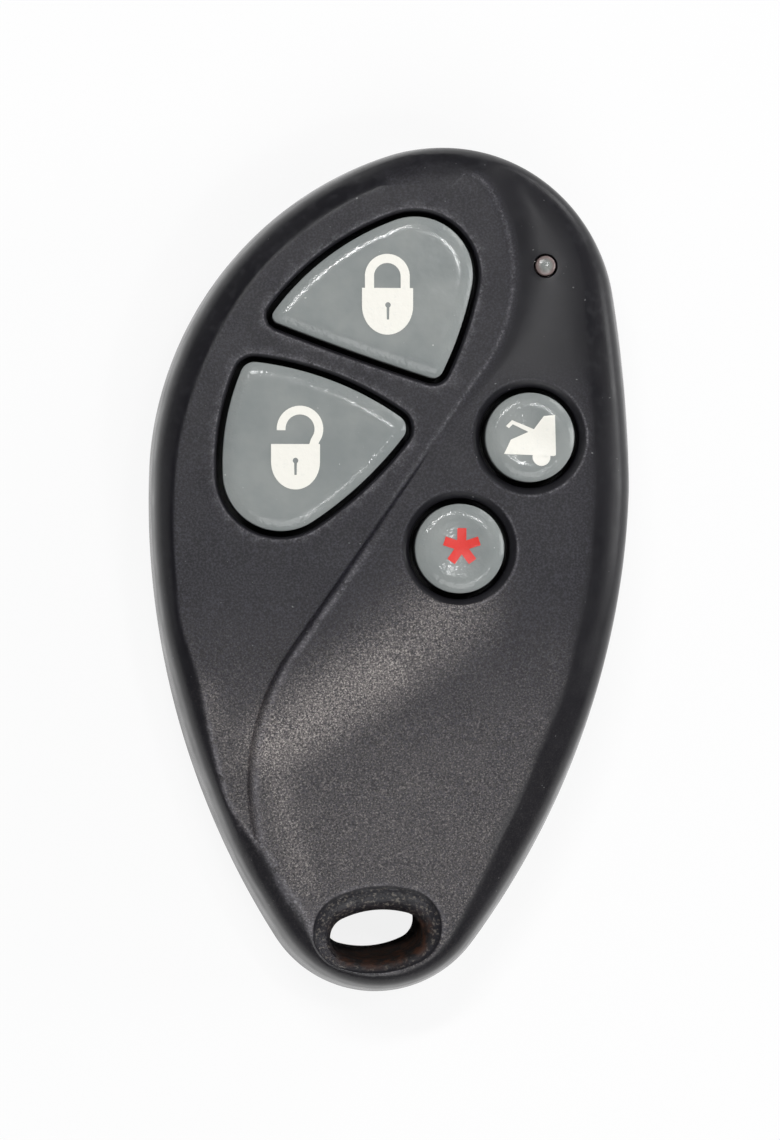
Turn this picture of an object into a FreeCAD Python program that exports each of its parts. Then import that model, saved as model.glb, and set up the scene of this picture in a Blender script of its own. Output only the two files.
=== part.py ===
import FreeCAD, Part
import math
import os
from FreeCAD import Vector

# A hand-held alarm remote. Sizes are millimetres. +Z points out of the keyed face, +Y towards the end
# with the status light, and the origin is the middle of the flat back.

# Case
case_length = 66.0
case_width = 37.6
parting_height = 6.5  # where the two covers meet
case_wall = 1.6
back_wall = 1.5
face_wall = 2.5  # from the crest down to the flat ceiling
shoulder_r = 5.0  # rounding between the side wall and the face panels
shoulder_rise = 0.8  # where the rounding would end, above the crest
back_edge_r = 2.5
seam_gap = 0.2  # visible groove between the covers
rim_width = 0.8  # outer part of the wall, which hides the tongue
tongue_height = 0.9
tongue_clearance = 0.1

# Case outline: four corner arcs, and the radii of the flatter sides between them
crown_x, crown_corner_r = 4.05, 13.64
left_y, left_corner_r = 7.06, 22.0
nose_x, nose_corner_r = -1.12, 9.34
right_y, right_corner_r = 6.59, 20.0
crown_left_side_r = 27.32
left_nose_side_r = 63.38
nose_right_side_r = 62.95
right_crown_side_r = 104.56

# Face panels: each is arched along Y, and they meet at an S-shaped step
panel_arch_r = 450.0
left_crest_y = 15.2
right_crest_y = 0.8
s_upper_x, s_upper_y, s_upper_r = -3.65, 22.57, 12.87
s_lower_x, s_lower_y, s_lower_r = 6.51, -16.25, 17.72
s_upper_start = 65.0  # degrees, past the case edge
s_lower_end = 196.0

# Keys: the Y values here and above count from the control line, which is set from the top end
controls_from_top = 33.0
key_rise = 0.5  # key tops above the crest
key_gap = 0.5
key_edge_r = 0.4
key_travel = 0.25
round_key_r = 3.4
trunk_key_from_side, trunk_key_y = 8.64, 10.05
star_key_x, star_key_y = 4.8, 1.57
lock_key_corners = ((1.4, 22.4, 4.4), (-8.9, 19.2, 0.55), (2.8, 15.3, 0.75))
lock_key_sides = (20.1, 200.0, 27.7)
unlock_key_corners = ((-10.8, 14.6, 1.1), (-8.8, 7.3, 4.4), (-0.4, 10.7, 1.1))
unlock_key_sides = (18.3, 28.8, 24.0)
dish_width = 0.7  # round keys sit in a dished opening
dish_depth = 0.7

# Keypad mat under the ceiling
mat_thickness = 0.8
mat_clearance = 0.4
mat_end_y = -4.5
web_width = 0.6
web_thickness = 0.25
web_clearance = 0.05
nub_r = 1.5
nub_length = 0.95  # from the mat down to the plunger
nub_clearance = 0.05

# Tact switches
switch_side = 4.5
switch_height = 1.6
switch_cover_thickness = 0.25
switch_well_r = 1.6
flat_dome_rise = 0.15  # what is left of the dome when the key is pressed
dome_r = 1.4
dome_thickness = 0.1
dome_clearance = 0.05
plunger_r = 1.2
plunger_clearance = 0.05
plunger_flange_r = 1.4
plunger_flange_height = 0.4
plunger_rise = 0.9  # above the switch cover
switch_lead_length = 0.8
switch_lead_width = 0.8
switch_lead_thickness = 0.15
switch_lead_pitch = 3.0

# Circuit board
board_thickness = 1.0
board_clearance = 0.4
ledge_width = 1.2
post_r = 1.0
post_clearance = 0.15
post_places = ((-3.9, 26.9), (12.6, 16.6), (-12.6, -0.6), (13.2, 1.8))

# Coin cell and its contacts
cell_r = 10.0
cell_height = 3.2
cell_cap_r = 8.7
cell_cap_height = 0.3
cell_edge_r = 0.4
cell_x = -0.5
cell_to_boss = 1.2
contact_drop = 0.5
clip_thickness = 0.25
clip_clearance = 0.15
clip_side_clearance = 0.3
clip_width = 6.0
clip_foot_length = 1.1
leaf_thickness = 0.2
leaf_length = 8.0
leaf_width = 3.0
leaf_dimple_r = 1.2

# Screws and their bosses
boss_r = 2.9
boss_inset = 4.4
upper_boss_angle = 60.0
boss_overlap = 0.3
screw_head_r = 1.6
screw_head_height = 1.2
screw_head_sunk = 0.7
screw_shank_r = 0.8
screw_length = 8.0
screw_clearance = 0.15
pilot_clearance = 0.05
shank_hole_clearance = 0.3
cross_length = 1.8
cross_width = 0.45
cross_depth = 0.6

# Key ring eye at the nose end
eye_x = -1.4
eye_from_end = 4.9
eye_half_length = 3.55
eye_half_height = 1.95
eye_end_r = 1.6
eye_tilt = 5.0
eye_wall = 1.2
eye_flare = 1.3
eye_flare_shift = 0.55
eye_flare_depth = 2.0
eye_back_flare_depth = 1.2

# Status light
light_from_side, light_y = 7.37, 23.2
light_r = 0.75
light_hole_clearance = 0.15
light_rise = 0.15
light_flange_r = 1.4
light_gap = 0.3
led_length, led_width, led_height = 1.6, 0.8, 0.7

# Parts on the board, placed from the lower end of the board
antenna_inset = 0.7
antenna_width = 0.8
antenna_thickness = 0.1
antenna_top = 11.0
chip_x, chip_up = -3.6, 10.6
chip_length, chip_width, chip_height = 8.6, 3.9, 1.5
chip_standoff = 0.1
chip_lead_count = 7
chip_lead_pitch = 1.27
chip_lead_width = 0.4
chip_lead_reach = 1.0
chip_lead_thickness = 0.2
saw_x, saw_up = 5.6, 4.0
saw_side, saw_height = 5.0, 1.4
transistor_x, transistor_up = -0.6, 3.1
transistor_length, transistor_width, transistor_height = 2.9, 1.3, 1.0
transistor_lead_reach = 0.6
transistor_lead_width = 0.4
crystal_x, crystal_up = -6.6, 4.6
crystal_length, crystal_width, crystal_height = 3.2, 2.5, 0.8
inductor_x, inductor_up = 8.8, 9.4
inductor_length, inductor_width, inductor_height = 2.5, 2.0, 1.6
small_length, small_width, small_height = 1.6, 0.8, 0.5
capacitor_height = 0.8
capacitor_places = ((-3.3, 2.4), (-8.6, 7.1), (2.4, 8.4), (8.0, 7.4))
resistor_places = ((5.3, 8.4), (-3.4, 6.6), (-0.6, 6.0), (5.3, 9.5))
control_resistor_places = ((7.6, 21.6), (2.4, 8.4), (-4.6, 4.2))

# Heights, built up from the back: cell, board, switch, key nub, mat and face
clip_low = back_wall + clip_clearance
cell_low = clip_low + clip_thickness
board_low = cell_low + cell_height + contact_drop
board_top = board_low + board_thickness
switch_top = board_top + switch_height
cover_low = switch_top - switch_cover_thickness
flange_top = cover_low - plunger_clearance
flange_low = flange_top - plunger_flange_height
dome_rise = flat_dome_rise + key_travel
switch_well = flange_low - dome_clearance - dome_rise
plunger_top = switch_top + plunger_rise
nub_low = plunger_top + nub_clearance
mat_low = nub_low + nub_length
ceiling = mat_low + mat_thickness
crest_height = ceiling + face_wall
shoulder_top = crest_height + shoulder_rise
key_top = crest_height + key_rise
tongue_top = parting_height + tongue_height
screw_seat = screw_head_sunk + screw_head_height

# Places that follow from the case's outline
control_line = case_length / 2 - controls_from_top
nose_end = -case_length / 2
crown_centre_y = case_length / 2 - crown_corner_r
eye_y = nose_end + eye_from_end
nose_block_top = eye_y + eye_flare_shift + eye_half_height + eye_flare + eye_wall
cavity_inset = case_wall
board_inset = case_wall + board_clearance
upper_boss_reach = crown_corner_r - boss_inset
upper_boss = (crown_x + upper_boss_reach * math.cos(math.radians(upper_boss_angle)),
              crown_centre_y + upper_boss_reach * math.sin(math.radians(upper_boss_angle)))
lower_boss = (nose_x, nose_block_top + boss_r - boss_overlap)
bosses = (upper_boss, lower_boss)
board_end = lower_boss[1] + boss_r + board_clearance
cell_y = lower_boss[1] + boss_r + cell_to_boss + cell_r

case_outline = (
    ((crown_x, crown_centre_y, crown_corner_r),
     (left_corner_r - case_width / 2, left_y, left_corner_r),
     (nose_x, nose_end + nose_corner_r, nose_corner_r),
     (case_width / 2 - right_corner_r, right_y, right_corner_r)),
    (crown_left_side_r, left_nose_side_r, nose_right_side_r, right_crown_side_r))


def from_control_line(corners):
    return tuple((x, y + control_line, r) for x, y, r in corners)


key_outlines = {
    "lock": (from_control_line(lock_key_corners), lock_key_sides),
    "unlock": (from_control_line(unlock_key_corners), unlock_key_sides),
    "trunk": (from_control_line(((case_width / 2 - trunk_key_from_side, trunk_key_y, round_key_r),)), ()),
    "star": (from_control_line(((star_key_x, star_key_y, round_key_r),)), ()),
}
posts = [(x, y + control_line) for x, y in post_places]
light_place = (case_width / 2 - light_from_side, light_y + control_line)


def arc(x, y, r, start, end):
    """Counterclockwise arc between two angles."""
    if end < start:
        end += 2 * math.pi
    angles = (start, (start + end) / 2, end)
    return Part.Arc(*[Vector(x + r * math.cos(a), y + r * math.sin(a), 0) for a in angles]).toShape()


def side_arcs(corners, sides):
    """Centres and radii of the side arcs, each tangent to the corner arcs at its ends."""
    arcs = []
    for (ax, ay, ar), (bx, by, br), side in zip(corners, corners[1:] + corners[:1], sides):
        span = math.hypot(bx - ax, by - ay)
        side = max(side, 0.51 * (span + ar + br))
        along = ((side - ar) ** 2 - (side - br) ** 2 + span ** 2) / (2 * span)
        across = math.sqrt((side - ar) ** 2 - along ** 2)
        ux, uy = (bx - ax) / span, (by - ay) / span
        arcs.append((ax + ux * along - uy * across, ay + uy * along + ux * across, side))
    return arcs


def corner_turns(corners, arcs):
    """Start angle and turn of each corner arc, between its two side arcs."""
    turns = []
    for i, (x, y, r) in enumerate(corners):
        start = math.atan2(y - arcs[i - 1][1], x - arcs[i - 1][0])
        turn = math.atan2(y - arcs[i][1], x - arcs[i][0]) - start
        turns.append((start, (turn + math.pi) % (2 * math.pi) - math.pi))
    return turns


def outline_wire(outline, grow=0.0):
    """Closed outline of corner arcs joined by flatter, tangent side arcs, grown sideways."""
    corners, sides = outline
    if len(corners) == 1:
        x, y, r = corners[0]
        return Part.Wire(Part.makeCircle(r + grow, Vector(x, y, 0)))
    arcs = side_arcs(corners, sides)
    turns = corner_turns(corners, arcs)
    while len(corners) > 2 and min(turn for start, turn in turns) <= 0:
        sides = [1.05 * side for side in sides]
        arcs = side_arcs(corners, sides)
        turns = corner_turns(corners, arcs)
    edges = []
    for i, (x, y, r) in enumerate(corners):
        start, turn = turns[i]
        if turn <= 0:
            turn += 2 * math.pi
        edges.append(arc(x, y, r + grow, start, start + turn))
        side_x, side_y, side_r = arcs[i]
        side_turn = (turns[(i + 1) % len(corners)][0] - start - turn) % (2 * math.pi)
        edges.append(arc(side_x, side_y, side_r + grow, start + turn, start + turn + side_turn))
    return Part.Wire(edges)


def slab(outline, low, high, grow=0.0):
    """Upright prism of an outline between two heights."""
    face = Part.Face(outline_wire(outline, grow))
    face.translate(Vector(0, 0, low))
    return face.extrude(Vector(0, 0, high - low))


def post(place, r, low, high):
    return Part.makeCylinder(r, high - low, Vector(place[0], place[1], low))


def block(x, y, low, length, width, height):
    """Box centred on x, y, standing on low."""
    return Part.makeBox(length, width, height, Vector(x - length / 2, y - width / 2, low))


def below_line(y):
    """Everything on the nose side of a line across the case."""
    return Part.makeBox(3 * case_width, 2 * case_length, 4 * crest_height,
                        Vector(-1.5 * case_width, y - 2 * case_length, -crest_height))


def edges_at(shape, height):
    return [e for e in shape.Edges if all(abs(v.Z - height) < 1e-6 for v in e.Vertexes)]


def centre_of(outline):
    centre = Part.Face(outline_wire(outline)).CenterOfMass
    return centre.x, centre.y


switch_places = {name: centre_of(outline) for name, outline in key_outlines.items()}


def left_panel_region():
    """Tall prism over everything on the left of the S-shaped step."""
    upper = Vector(s_upper_x, s_upper_y + control_line, 0)
    lower = Vector(s_lower_x, s_lower_y + control_line, 0)
    between = lower - upper
    sine = (s_upper_r + s_lower_r) / between.Length
    along = between.normalize()
    across = Vector(-along.y, along.x, 0)
    tangent = along * sine + across * math.sqrt(1 - sine ** 2)
    lean = math.atan2(tangent.y, tangent.x)
    first = upper + tangent * s_upper_r
    second = lower - tangent * s_lower_r
    top_arc = arc(upper.x, upper.y, s_upper_r, lean, math.radians(s_upper_start))
    bottom_arc = arc(lower.x, lower.y, s_lower_r, lean + math.pi, math.radians(s_lower_end))
    top = top_arc.Vertexes[-1].Point
    bottom = bottom_arc.Vertexes[-1].Point
    far = -2 * case_width
    corners = [bottom, Vector(far, bottom.y, 0), Vector(far, case_length, 0),
               Vector(top.x, case_length, 0), top]
    lines = [(first, second)] + list(zip(corners, corners[1:]))
    edges = [top_arc, bottom_arc] + [Part.LineSegment(a, b).toShape() for a, b in lines]
    wire = Part.Wire(Part.__sortEdges__(edges))
    return Part.Face(wire).extrude(Vector(0, 0, 2 * shoulder_top))


def under_arch(crest_y):
    """Everything under one panel's arched surface."""
    axis = Vector(-2.5 * case_width, crest_y + control_line, crest_height - panel_arch_r)
    return Part.makeCylinder(panel_arch_r, 5 * case_width, axis, Vector(1, 0, 0))


def outer_form():
    """The closed case with its rounded edges and the two face panels."""
    form = slab(case_outline, 0, shoulder_top)
    form = form.makeFillet(shoulder_r, edges_at(form, shoulder_top))
    form = form.makeFillet(back_edge_r, edges_at(form, 0))
    left = left_panel_region()
    everywhere = Part.makeBox(4 * case_width, 3 * case_length, 2 * shoulder_top,
                              Vector(-2 * case_width, -1.5 * case_length, 0))
    form = form.cut(left.cut(under_arch(left_crest_y)))
    return form.cut(everywhere.cut(left).cut(under_arch(right_crest_y)))


def eye_outline(step):
    """Key ring hole at step 0, and its flare at step 1."""
    reach = eye_half_length - eye_end_r
    lean = math.radians(eye_tilt)
    cx, cy = eye_x, eye_y + eye_flare_shift * step
    dx, dy = reach * math.cos(lean), reach * math.sin(lean)
    rise = eye_half_height
    side = (reach ** 2 + rise ** 2 - eye_end_r ** 2) / (2 * (rise - eye_end_r))
    return ((cx + dx, cy + dy, eye_end_r), (cx - dx, cy - dy, eye_end_r)), (side, side)


def eye_cut():
    """The key ring hole and its flare on both faces."""
    panel = crest_height - (eye_y - right_crest_y - control_line) ** 2 / (2 * panel_arch_r)
    cut = slab(eye_outline(0), -1, shoulder_top + 1)
    for depth, face, way in ((eye_flare_depth, panel, 1), (eye_back_flare_depth, 0, -1)):
        wires = []
        for step in (0, 1.5):
            wire = outline_wire(eye_outline(step), eye_flare * step)
            wire.translate(Vector(0, 0, face + way * depth * (step - 1)))
            wires.append(wire)
        cut = cut.fuse(Part.makeLoft(wires, True, True))
    return cut


def cavity(low, high, inset):
    """Inside of the case, which ends at the solid block round the key ring hole."""
    return slab(case_outline, low, high, -inset).cut(below_line(nose_block_top))


def front_cover(form):
    cover = form.common(slab(case_outline, parting_height, shoulder_top + 1, 1))
    cover = cover.cut(slab(case_outline, parting_height, tongue_top, -rim_width))
    cover = cover.cut(cavity(tongue_top, ceiling, cavity_inset))
    for place in bosses:
        cover = cover.fuse(post(place, boss_r, parting_height, ceiling))
    for place in posts:
        cover = cover.fuse(post(place, post_r, board_top, ceiling))
    for place in bosses:
        pilot_top = screw_seat + screw_length + screw_clearance
        cover = cover.cut(post(place, screw_shank_r + pilot_clearance, parting_height, pilot_top))
    for outline in key_outlines.values():
        cover = cover.cut(slab(outline, ceiling, shoulder_top + 1, key_gap))
        if len(outline[0]) == 1:
            x, y, r = outline[0][0]
            opening = r + key_gap
            cone = Part.makeCone(opening, opening + 2 * dish_width, 2 * dish_depth,
                                 Vector(x, y, crest_height - dish_depth))
            cover = cover.cut(cone)
    cover = cover.cut(post(light_place, light_r + light_hole_clearance, ceiling, shoulder_top + 1))
    return cover.cut(eye_cut()).removeSplitter()


def rear_cover(form):
    cover = form.common(slab(case_outline, 0, parting_height - seam_gap, 1))
    inner = -(rim_width + tongue_clearance)
    cover = cover.fuse(slab(case_outline, parting_height / 2, tongue_top, inner))
    cover = cover.cut(cavity(back_wall, board_low, cavity_inset + ledge_width))
    cover = cover.cut(cavity(board_low, tongue_top, cavity_inset))
    for place in bosses:
        cover = cover.cut(post(place, boss_r + tongue_clearance, parting_height, tongue_top))
        cover = cover.fuse(post(place, boss_r, back_wall, parting_height))
    for place in bosses:
        cover = cover.cut(post(place, screw_head_r + screw_clearance, 0, screw_seat))
        cover = cover.cut(post(place, screw_shank_r + shank_hole_clearance, screw_seat, parting_height))
    return cover.cut(eye_cut()).removeSplitter()


def case_screws():
    """Two pan-head screws, driven from the back."""
    screws = []
    for place in bosses:
        head = post(place, screw_head_r, screw_head_sunk, screw_seat)
        head = head.makeFillet(screw_head_height / 3, edges_at(head, screw_head_sunk))
        for length, width in ((cross_length, cross_width), (cross_width, cross_length)):
            head = head.cut(block(place[0], place[1], screw_head_sunk, length, width, cross_depth))
        shank = post(place, screw_shank_r, screw_seat, screw_seat + screw_length)
        screws.append(head.fuse(shank))
    return Part.makeCompound(screws)


def keypad_mat():
    mat = slab(case_outline, mat_low, ceiling, -(cavity_inset + mat_clearance))
    mat = mat.cut(below_line(mat_end_y + control_line))
    for outline in key_outlines.values():
        mat = mat.cut(slab(outline, mat_low, ceiling, web_width))
    for place in bosses:
        mat = mat.cut(post(place, boss_r + mat_clearance, mat_low, ceiling))
    for place in posts:
        mat = mat.cut(post(place, post_r + post_clearance, mat_low, ceiling))
    return mat.cut(post(light_place, light_flange_r + post_clearance, mat_low, ceiling))


def key(name):
    """A key with its nub, which reaches down to the switch plunger."""
    outline = key_outlines[name]
    cap = slab(outline, mat_low, key_top)
    cap = cap.makeFillet(key_edge_r, edges_at(cap, key_top))
    return cap.fuse(post(switch_places[name], nub_r, nub_low, mat_low))


def key_web(name):
    """Thin ring of silicone between a key and the mat."""
    outline = key_outlines[name]
    high = mat_low + web_thickness
    return slab(outline, mat_low, high, web_width).cut(slab(outline, mat_low, high, web_clearance))


def switch_plunger(name):
    place = switch_places[name]
    flange = post(place, plunger_flange_r, flange_low, flange_top)
    return flange.fuse(post(place, plunger_r, flange_top, plunger_top))


def switch_dome(name):
    """Snap dome under the plunger, which a pressed key flattens."""
    x, y = switch_places[name]
    sphere_r = (dome_r ** 2 + dome_rise ** 2) / (2 * dome_rise)
    centre = Vector(x, y, switch_well + dome_rise - sphere_r)
    shell = Part.makeSphere(sphere_r, centre).cut(Part.makeSphere(sphere_r - dome_thickness, centre))
    return shell.common(post((x, y), 2 * dome_r, switch_well, flange_low))


def switch_bases():
    bases = []
    for place in switch_places.values():
        base = block(place[0], place[1], board_top, switch_side, switch_side, cover_low - board_top)
        bases.append(base.cut(post(place, switch_well_r, switch_well, cover_low)))
    return Part.makeCompound(bases)


def switch_covers():
    covers = []
    for place in switch_places.values():
        cover = block(place[0], place[1], cover_low, switch_side, switch_side, switch_cover_thickness)
        covers.append(cover.cut(post(place, plunger_r + plunger_clearance, cover_low, switch_top)))
    return Part.makeCompound(covers)


def switch_leads():
    leads = []
    reach = (switch_side + switch_lead_length) / 2
    for x, y in switch_places.values():
        for dx in (-reach, reach):
            for dy in (-switch_lead_pitch / 2, switch_lead_pitch / 2):
                leads.append(block(x + dx, y + dy, board_top, switch_lead_length, switch_lead_width,
                                   switch_lead_thickness))
    return Part.makeCompound(leads)


def circuit_board():
    board = slab(case_outline, board_low, board_top, -board_inset).cut(below_line(board_end))
    for place in bosses:
        board = board.cut(post(place, boss_r + board_clearance, board_low, board_top))
    return board


def loop_antenna():
    """Printed loop round the lower half of the board."""
    outer = board_inset + antenna_inset
    high = board_top + antenna_thickness
    ring = slab(case_outline, board_top, high, -outer)
    ring = ring.cut(below_line(board_end + antenna_inset))
    hollow = slab(case_outline, board_top, high, -(outer + antenna_width))
    hollow = hollow.cut(below_line(board_end + antenna_inset + antenna_width))
    return ring.cut(hollow).common(below_line(board_end + antenna_top))


def on_board(x, up, length, width, height, standoff=0.0):
    """Box on the board, placed from the board's lower end."""
    return block(x, board_end + up, board_top + standoff, length, width, height)


def encoder_chip():
    return on_board(chip_x, chip_up, chip_length, chip_width, chip_height, chip_standoff)


def encoder_leads():
    leads = []
    reach = (chip_width + chip_lead_reach) / 2
    for side in (-reach, reach):
        for i in range(chip_lead_count):
            x = chip_x + (i - (chip_lead_count - 1) / 2) * chip_lead_pitch
            leads.append(on_board(x, chip_up + side, chip_lead_width, chip_lead_reach,
                                  chip_standoff + chip_lead_thickness))
    return Part.makeCompound(leads)


def transistor_leads():
    leads = []
    reach = (transistor_width + transistor_lead_reach) / 2
    for dx, dy in ((-transistor_length / 3, -reach), (transistor_length / 3, -reach), (0, reach)):
        leads.append(on_board(transistor_x + dx, transistor_up + dy, transistor_lead_width,
                              transistor_lead_reach, chip_standoff + chip_lead_thickness))
    return Part.makeCompound(leads)


def small_parts(places, height):
    return [on_board(x, up, small_length, small_width, height) for x, up in places]


def chip_resistors():
    resistors = small_parts(resistor_places, small_height)
    for x, y in control_resistor_places:
        resistors.append(block(x, y + control_line, board_top, small_length, small_width, small_height))
    return Part.makeCompound(resistors)


def status_led():
    return block(light_place[0], light_place[1], board_top, led_length, led_width, led_height)


def light_pipe():
    """Clear rod from the lamp to the face, with a flange under the ceiling."""
    panel = crest_height - (light_y - right_crest_y) ** 2 / (2 * panel_arch_r)
    rod = post(light_place, light_r, board_top + led_height + light_gap, panel + light_rise)
    return rod.fuse(post(light_place, light_flange_r, mat_low, ceiling)).removeSplitter()


def cell_can():
    can = post((cell_x, cell_y), cell_r, cell_low, cell_low + cell_height - cell_cap_height)
    return can.makeFillet(cell_edge_r, edges_at(can, cell_low))


def cell_cap():
    top = cell_low + cell_height
    return post((cell_x, cell_y), cell_cap_r, top - cell_cap_height, top)


def battery_plus_clip():
    """Strap under the cell, with a leg and a soldered foot on each side."""
    leg_x = cell_r + clip_side_clearance + clip_thickness / 2
    clip = block(cell_x, cell_y, clip_low, 2 * leg_x + clip_thickness, clip_width, clip_thickness)
    for way in (-1, 1):
        leg = block(cell_x + way * leg_x, cell_y, clip_low, clip_thickness, clip_width, board_low - clip_low)
        foot_x = cell_x + way * (leg_x + (clip_foot_length - clip_thickness) / 2)
        foot = block(foot_x, cell_y, board_low - clip_thickness, clip_foot_length, clip_width, clip_thickness)
        clip = clip.fuse(leg).fuse(foot)
    return clip.removeSplitter()


def battery_minus_contact():
    """Leaf under the board, with a dimple that presses on the cell."""
    leaf = block(cell_x, cell_y, board_low - leaf_thickness, leaf_length, leaf_width, leaf_thickness)
    dimple = post((cell_x, cell_y), leaf_dimple_r, cell_low + cell_height, board_low - leaf_thickness)
    return leaf.fuse(dimple)


form = outer_form()
nodes = {
    "front_cover": front_cover(form),
    "rear_cover": rear_cover(form),
    "case_screws": case_screws(),
    "keypad_mat": keypad_mat(),
    "switch_bases": switch_bases(),
    "switch_covers": switch_covers(),
    "switch_leads": switch_leads(),
    "circuit_board": circuit_board(),
    "loop_antenna": loop_antenna(),
    "encoder_chip": encoder_chip(),
    "encoder_leads": encoder_leads(),
    "saw_resonator": on_board(saw_x, saw_up, saw_side, saw_side, saw_height),
    "radio_transistor": on_board(transistor_x, transistor_up, transistor_length, transistor_width,
                                 transistor_height, chip_standoff),
    "transistor_leads": transistor_leads(),
    "clock_crystal": on_board(crystal_x, crystal_up, crystal_length, crystal_width, crystal_height),
    "radio_inductor": on_board(inductor_x, inductor_up, inductor_length, inductor_width, inductor_height),
    "chip_capacitors": Part.makeCompound(small_parts(capacitor_places, capacitor_height)),
    "chip_resistors": chip_resistors(),
    "status_led": status_led(),
    "light_pipe": light_pipe(),
    "cell_can": cell_can(),
    "cell_cap": cell_cap(),
    "battery_plus_clip": battery_plus_clip(),
    "battery_minus_contact": battery_minus_contact(),
}
for name in key_outlines:
    nodes[name + "_key"] = key(name)
    nodes[name + "_key_web"] = key_web(name)
    nodes[name + "_plunger"] = switch_plunger(name)
    nodes[name + "_dome"] = switch_dome(name)

os.makedirs("parts", exist_ok=True)
for name, shape in nodes.items():
    shape.exportStep("parts/" + name + ".step")
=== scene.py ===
# %% [markdown]
# # A worn car alarm remote
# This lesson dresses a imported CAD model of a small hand-held transmitter. The CAD part is the fixed
# frame: it says where every piece is and what moves. Here the pieces that a hand and an eye meet get
# their true surfaces: a moulded case with an S-shaped step, silicone keys, printed signs and wear.

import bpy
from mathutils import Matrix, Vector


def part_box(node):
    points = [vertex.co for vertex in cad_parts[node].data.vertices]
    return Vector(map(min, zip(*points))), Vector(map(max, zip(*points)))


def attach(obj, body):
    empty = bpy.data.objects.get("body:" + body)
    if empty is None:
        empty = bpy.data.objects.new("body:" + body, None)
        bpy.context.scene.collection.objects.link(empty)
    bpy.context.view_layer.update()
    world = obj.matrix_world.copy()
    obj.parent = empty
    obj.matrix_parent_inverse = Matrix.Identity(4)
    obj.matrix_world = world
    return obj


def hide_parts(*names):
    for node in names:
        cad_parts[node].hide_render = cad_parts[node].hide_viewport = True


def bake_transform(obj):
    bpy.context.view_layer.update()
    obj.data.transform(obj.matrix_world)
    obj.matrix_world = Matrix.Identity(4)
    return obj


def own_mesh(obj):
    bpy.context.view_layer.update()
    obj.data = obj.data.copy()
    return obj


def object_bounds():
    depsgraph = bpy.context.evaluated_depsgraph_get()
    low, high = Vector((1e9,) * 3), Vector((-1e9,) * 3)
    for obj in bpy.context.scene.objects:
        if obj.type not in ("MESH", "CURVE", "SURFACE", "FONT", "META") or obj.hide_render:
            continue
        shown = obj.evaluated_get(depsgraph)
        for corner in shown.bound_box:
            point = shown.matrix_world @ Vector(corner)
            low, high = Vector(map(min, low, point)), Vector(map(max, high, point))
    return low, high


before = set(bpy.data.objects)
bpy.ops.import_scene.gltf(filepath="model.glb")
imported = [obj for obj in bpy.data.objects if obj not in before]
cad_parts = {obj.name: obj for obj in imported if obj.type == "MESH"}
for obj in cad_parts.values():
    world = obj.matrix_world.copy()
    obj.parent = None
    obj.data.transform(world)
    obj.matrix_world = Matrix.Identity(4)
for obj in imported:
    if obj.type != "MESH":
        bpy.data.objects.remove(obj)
cad_low, cad_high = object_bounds()
print("CAD box in mm", [round(1000 * v, 2) for v in (*cad_low, *cad_high)])

# %% Tools of the lesson
import math
import bmesh
import bpy
import numpy as np
from mathutils import Matrix, Vector
from mathutils.geometry import delaunay_2d_cdt

MM = 0.001
TURN = 2 * math.pi


def linked(name, data):
    """A new object that shows this data in the scene."""
    obj = bpy.data.objects.new(name, data)
    bpy.context.collection.objects.link(obj)
    return obj


def node_box(name):
    """Lowest and highest corner of a CAD node, in millimetres."""
    low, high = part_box(name)
    return np.array(low) / MM, np.array(high) / MM


case_low, case_high = node_box("front_cover")
case_length = case_high[1] - case_low[1]
case_width = case_high[0] - case_low[0]
nose_end, tail_end = -case_length / 2, case_length / 2
eye_from_nose = 4.9
eye_place = np.array([-1.4, nose_end + eye_from_nose])
print("case", round(case_length, 2), "long,", round(case_width, 2), "wide")

# %% [markdown]
# ## Camera
# The photograph looks straight down on the remote from about a quarter of a metre, a little from the
# left. A long lens keeps the outline almost flat. The camera is aimed with its own three axes, so no
# constraint is needed, and the lens length comes from how many pixels the remote fills.

# %% Camera at the photograph's angle
eye_point = Vector((-17.0, 0.0, 245.0)) * MM
aim_point = Vector((0.0, 0.0, 7.0)) * MM
photo_height = 1140
focal_pixels = 3056
sensor_mm = 36.0
middle_shift = -0.8 / photo_height  # the photograph's own middle

forward = (aim_point - eye_point).normalized()
right = forward.cross(Vector((0, 1, 0))).normalized()
up = right.cross(forward)
camera_data = bpy.data.cameras.new("photo_lens")
camera_data.sensor_width = sensor_mm
camera_data.lens = focal_pixels / photo_height * sensor_mm
camera_data.clip_start = 0.01
camera_data.shift_x = camera_data.shift_y = middle_shift
camera = linked("photo_camera", camera_data)
aim = Matrix((right, up, -forward)).transposed().to_4x4()
camera.matrix_world = Matrix.Translation(eye_point) @ aim
bpy.context.scene.camera = camera
print("lens", round(camera_data.lens, 1), "mm")

# %% [markdown]
# ## Colours and nodes
# A colour is written as the hex value that a picture shows, and one function turns it to the linear
# light that the shaders count in. One small function adds a node, its settings and its links.

# %% Colour and node helpers


def hex_colour(text):
    """A hex colour of a picture as linear light."""
    parts = [int(text[i:i + 2], 16) / 255 for i in (1, 3, 5)]
    return [c / 12.92 if c <= 0.04045 else ((c + 0.055) / 1.055) ** 2.4 for c in parts] + [1.0]


def add(tree, kind, inputs=None, out=0, **settings):
    """Adds a node and gives one output; an input is either a value or the output that feeds it."""
    node = tree.nodes.new(kind)
    for name, value in settings.items():
        setattr(node, name, value)
    for name, value in (inputs or {}).items():
        if isinstance(value, bpy.types.NodeSocket):
            tree.links.new(value, node.inputs[name])
        else:
            node.inputs[name].default_value = value
    return node.outputs[out] if len(node.outputs) else node


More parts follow.
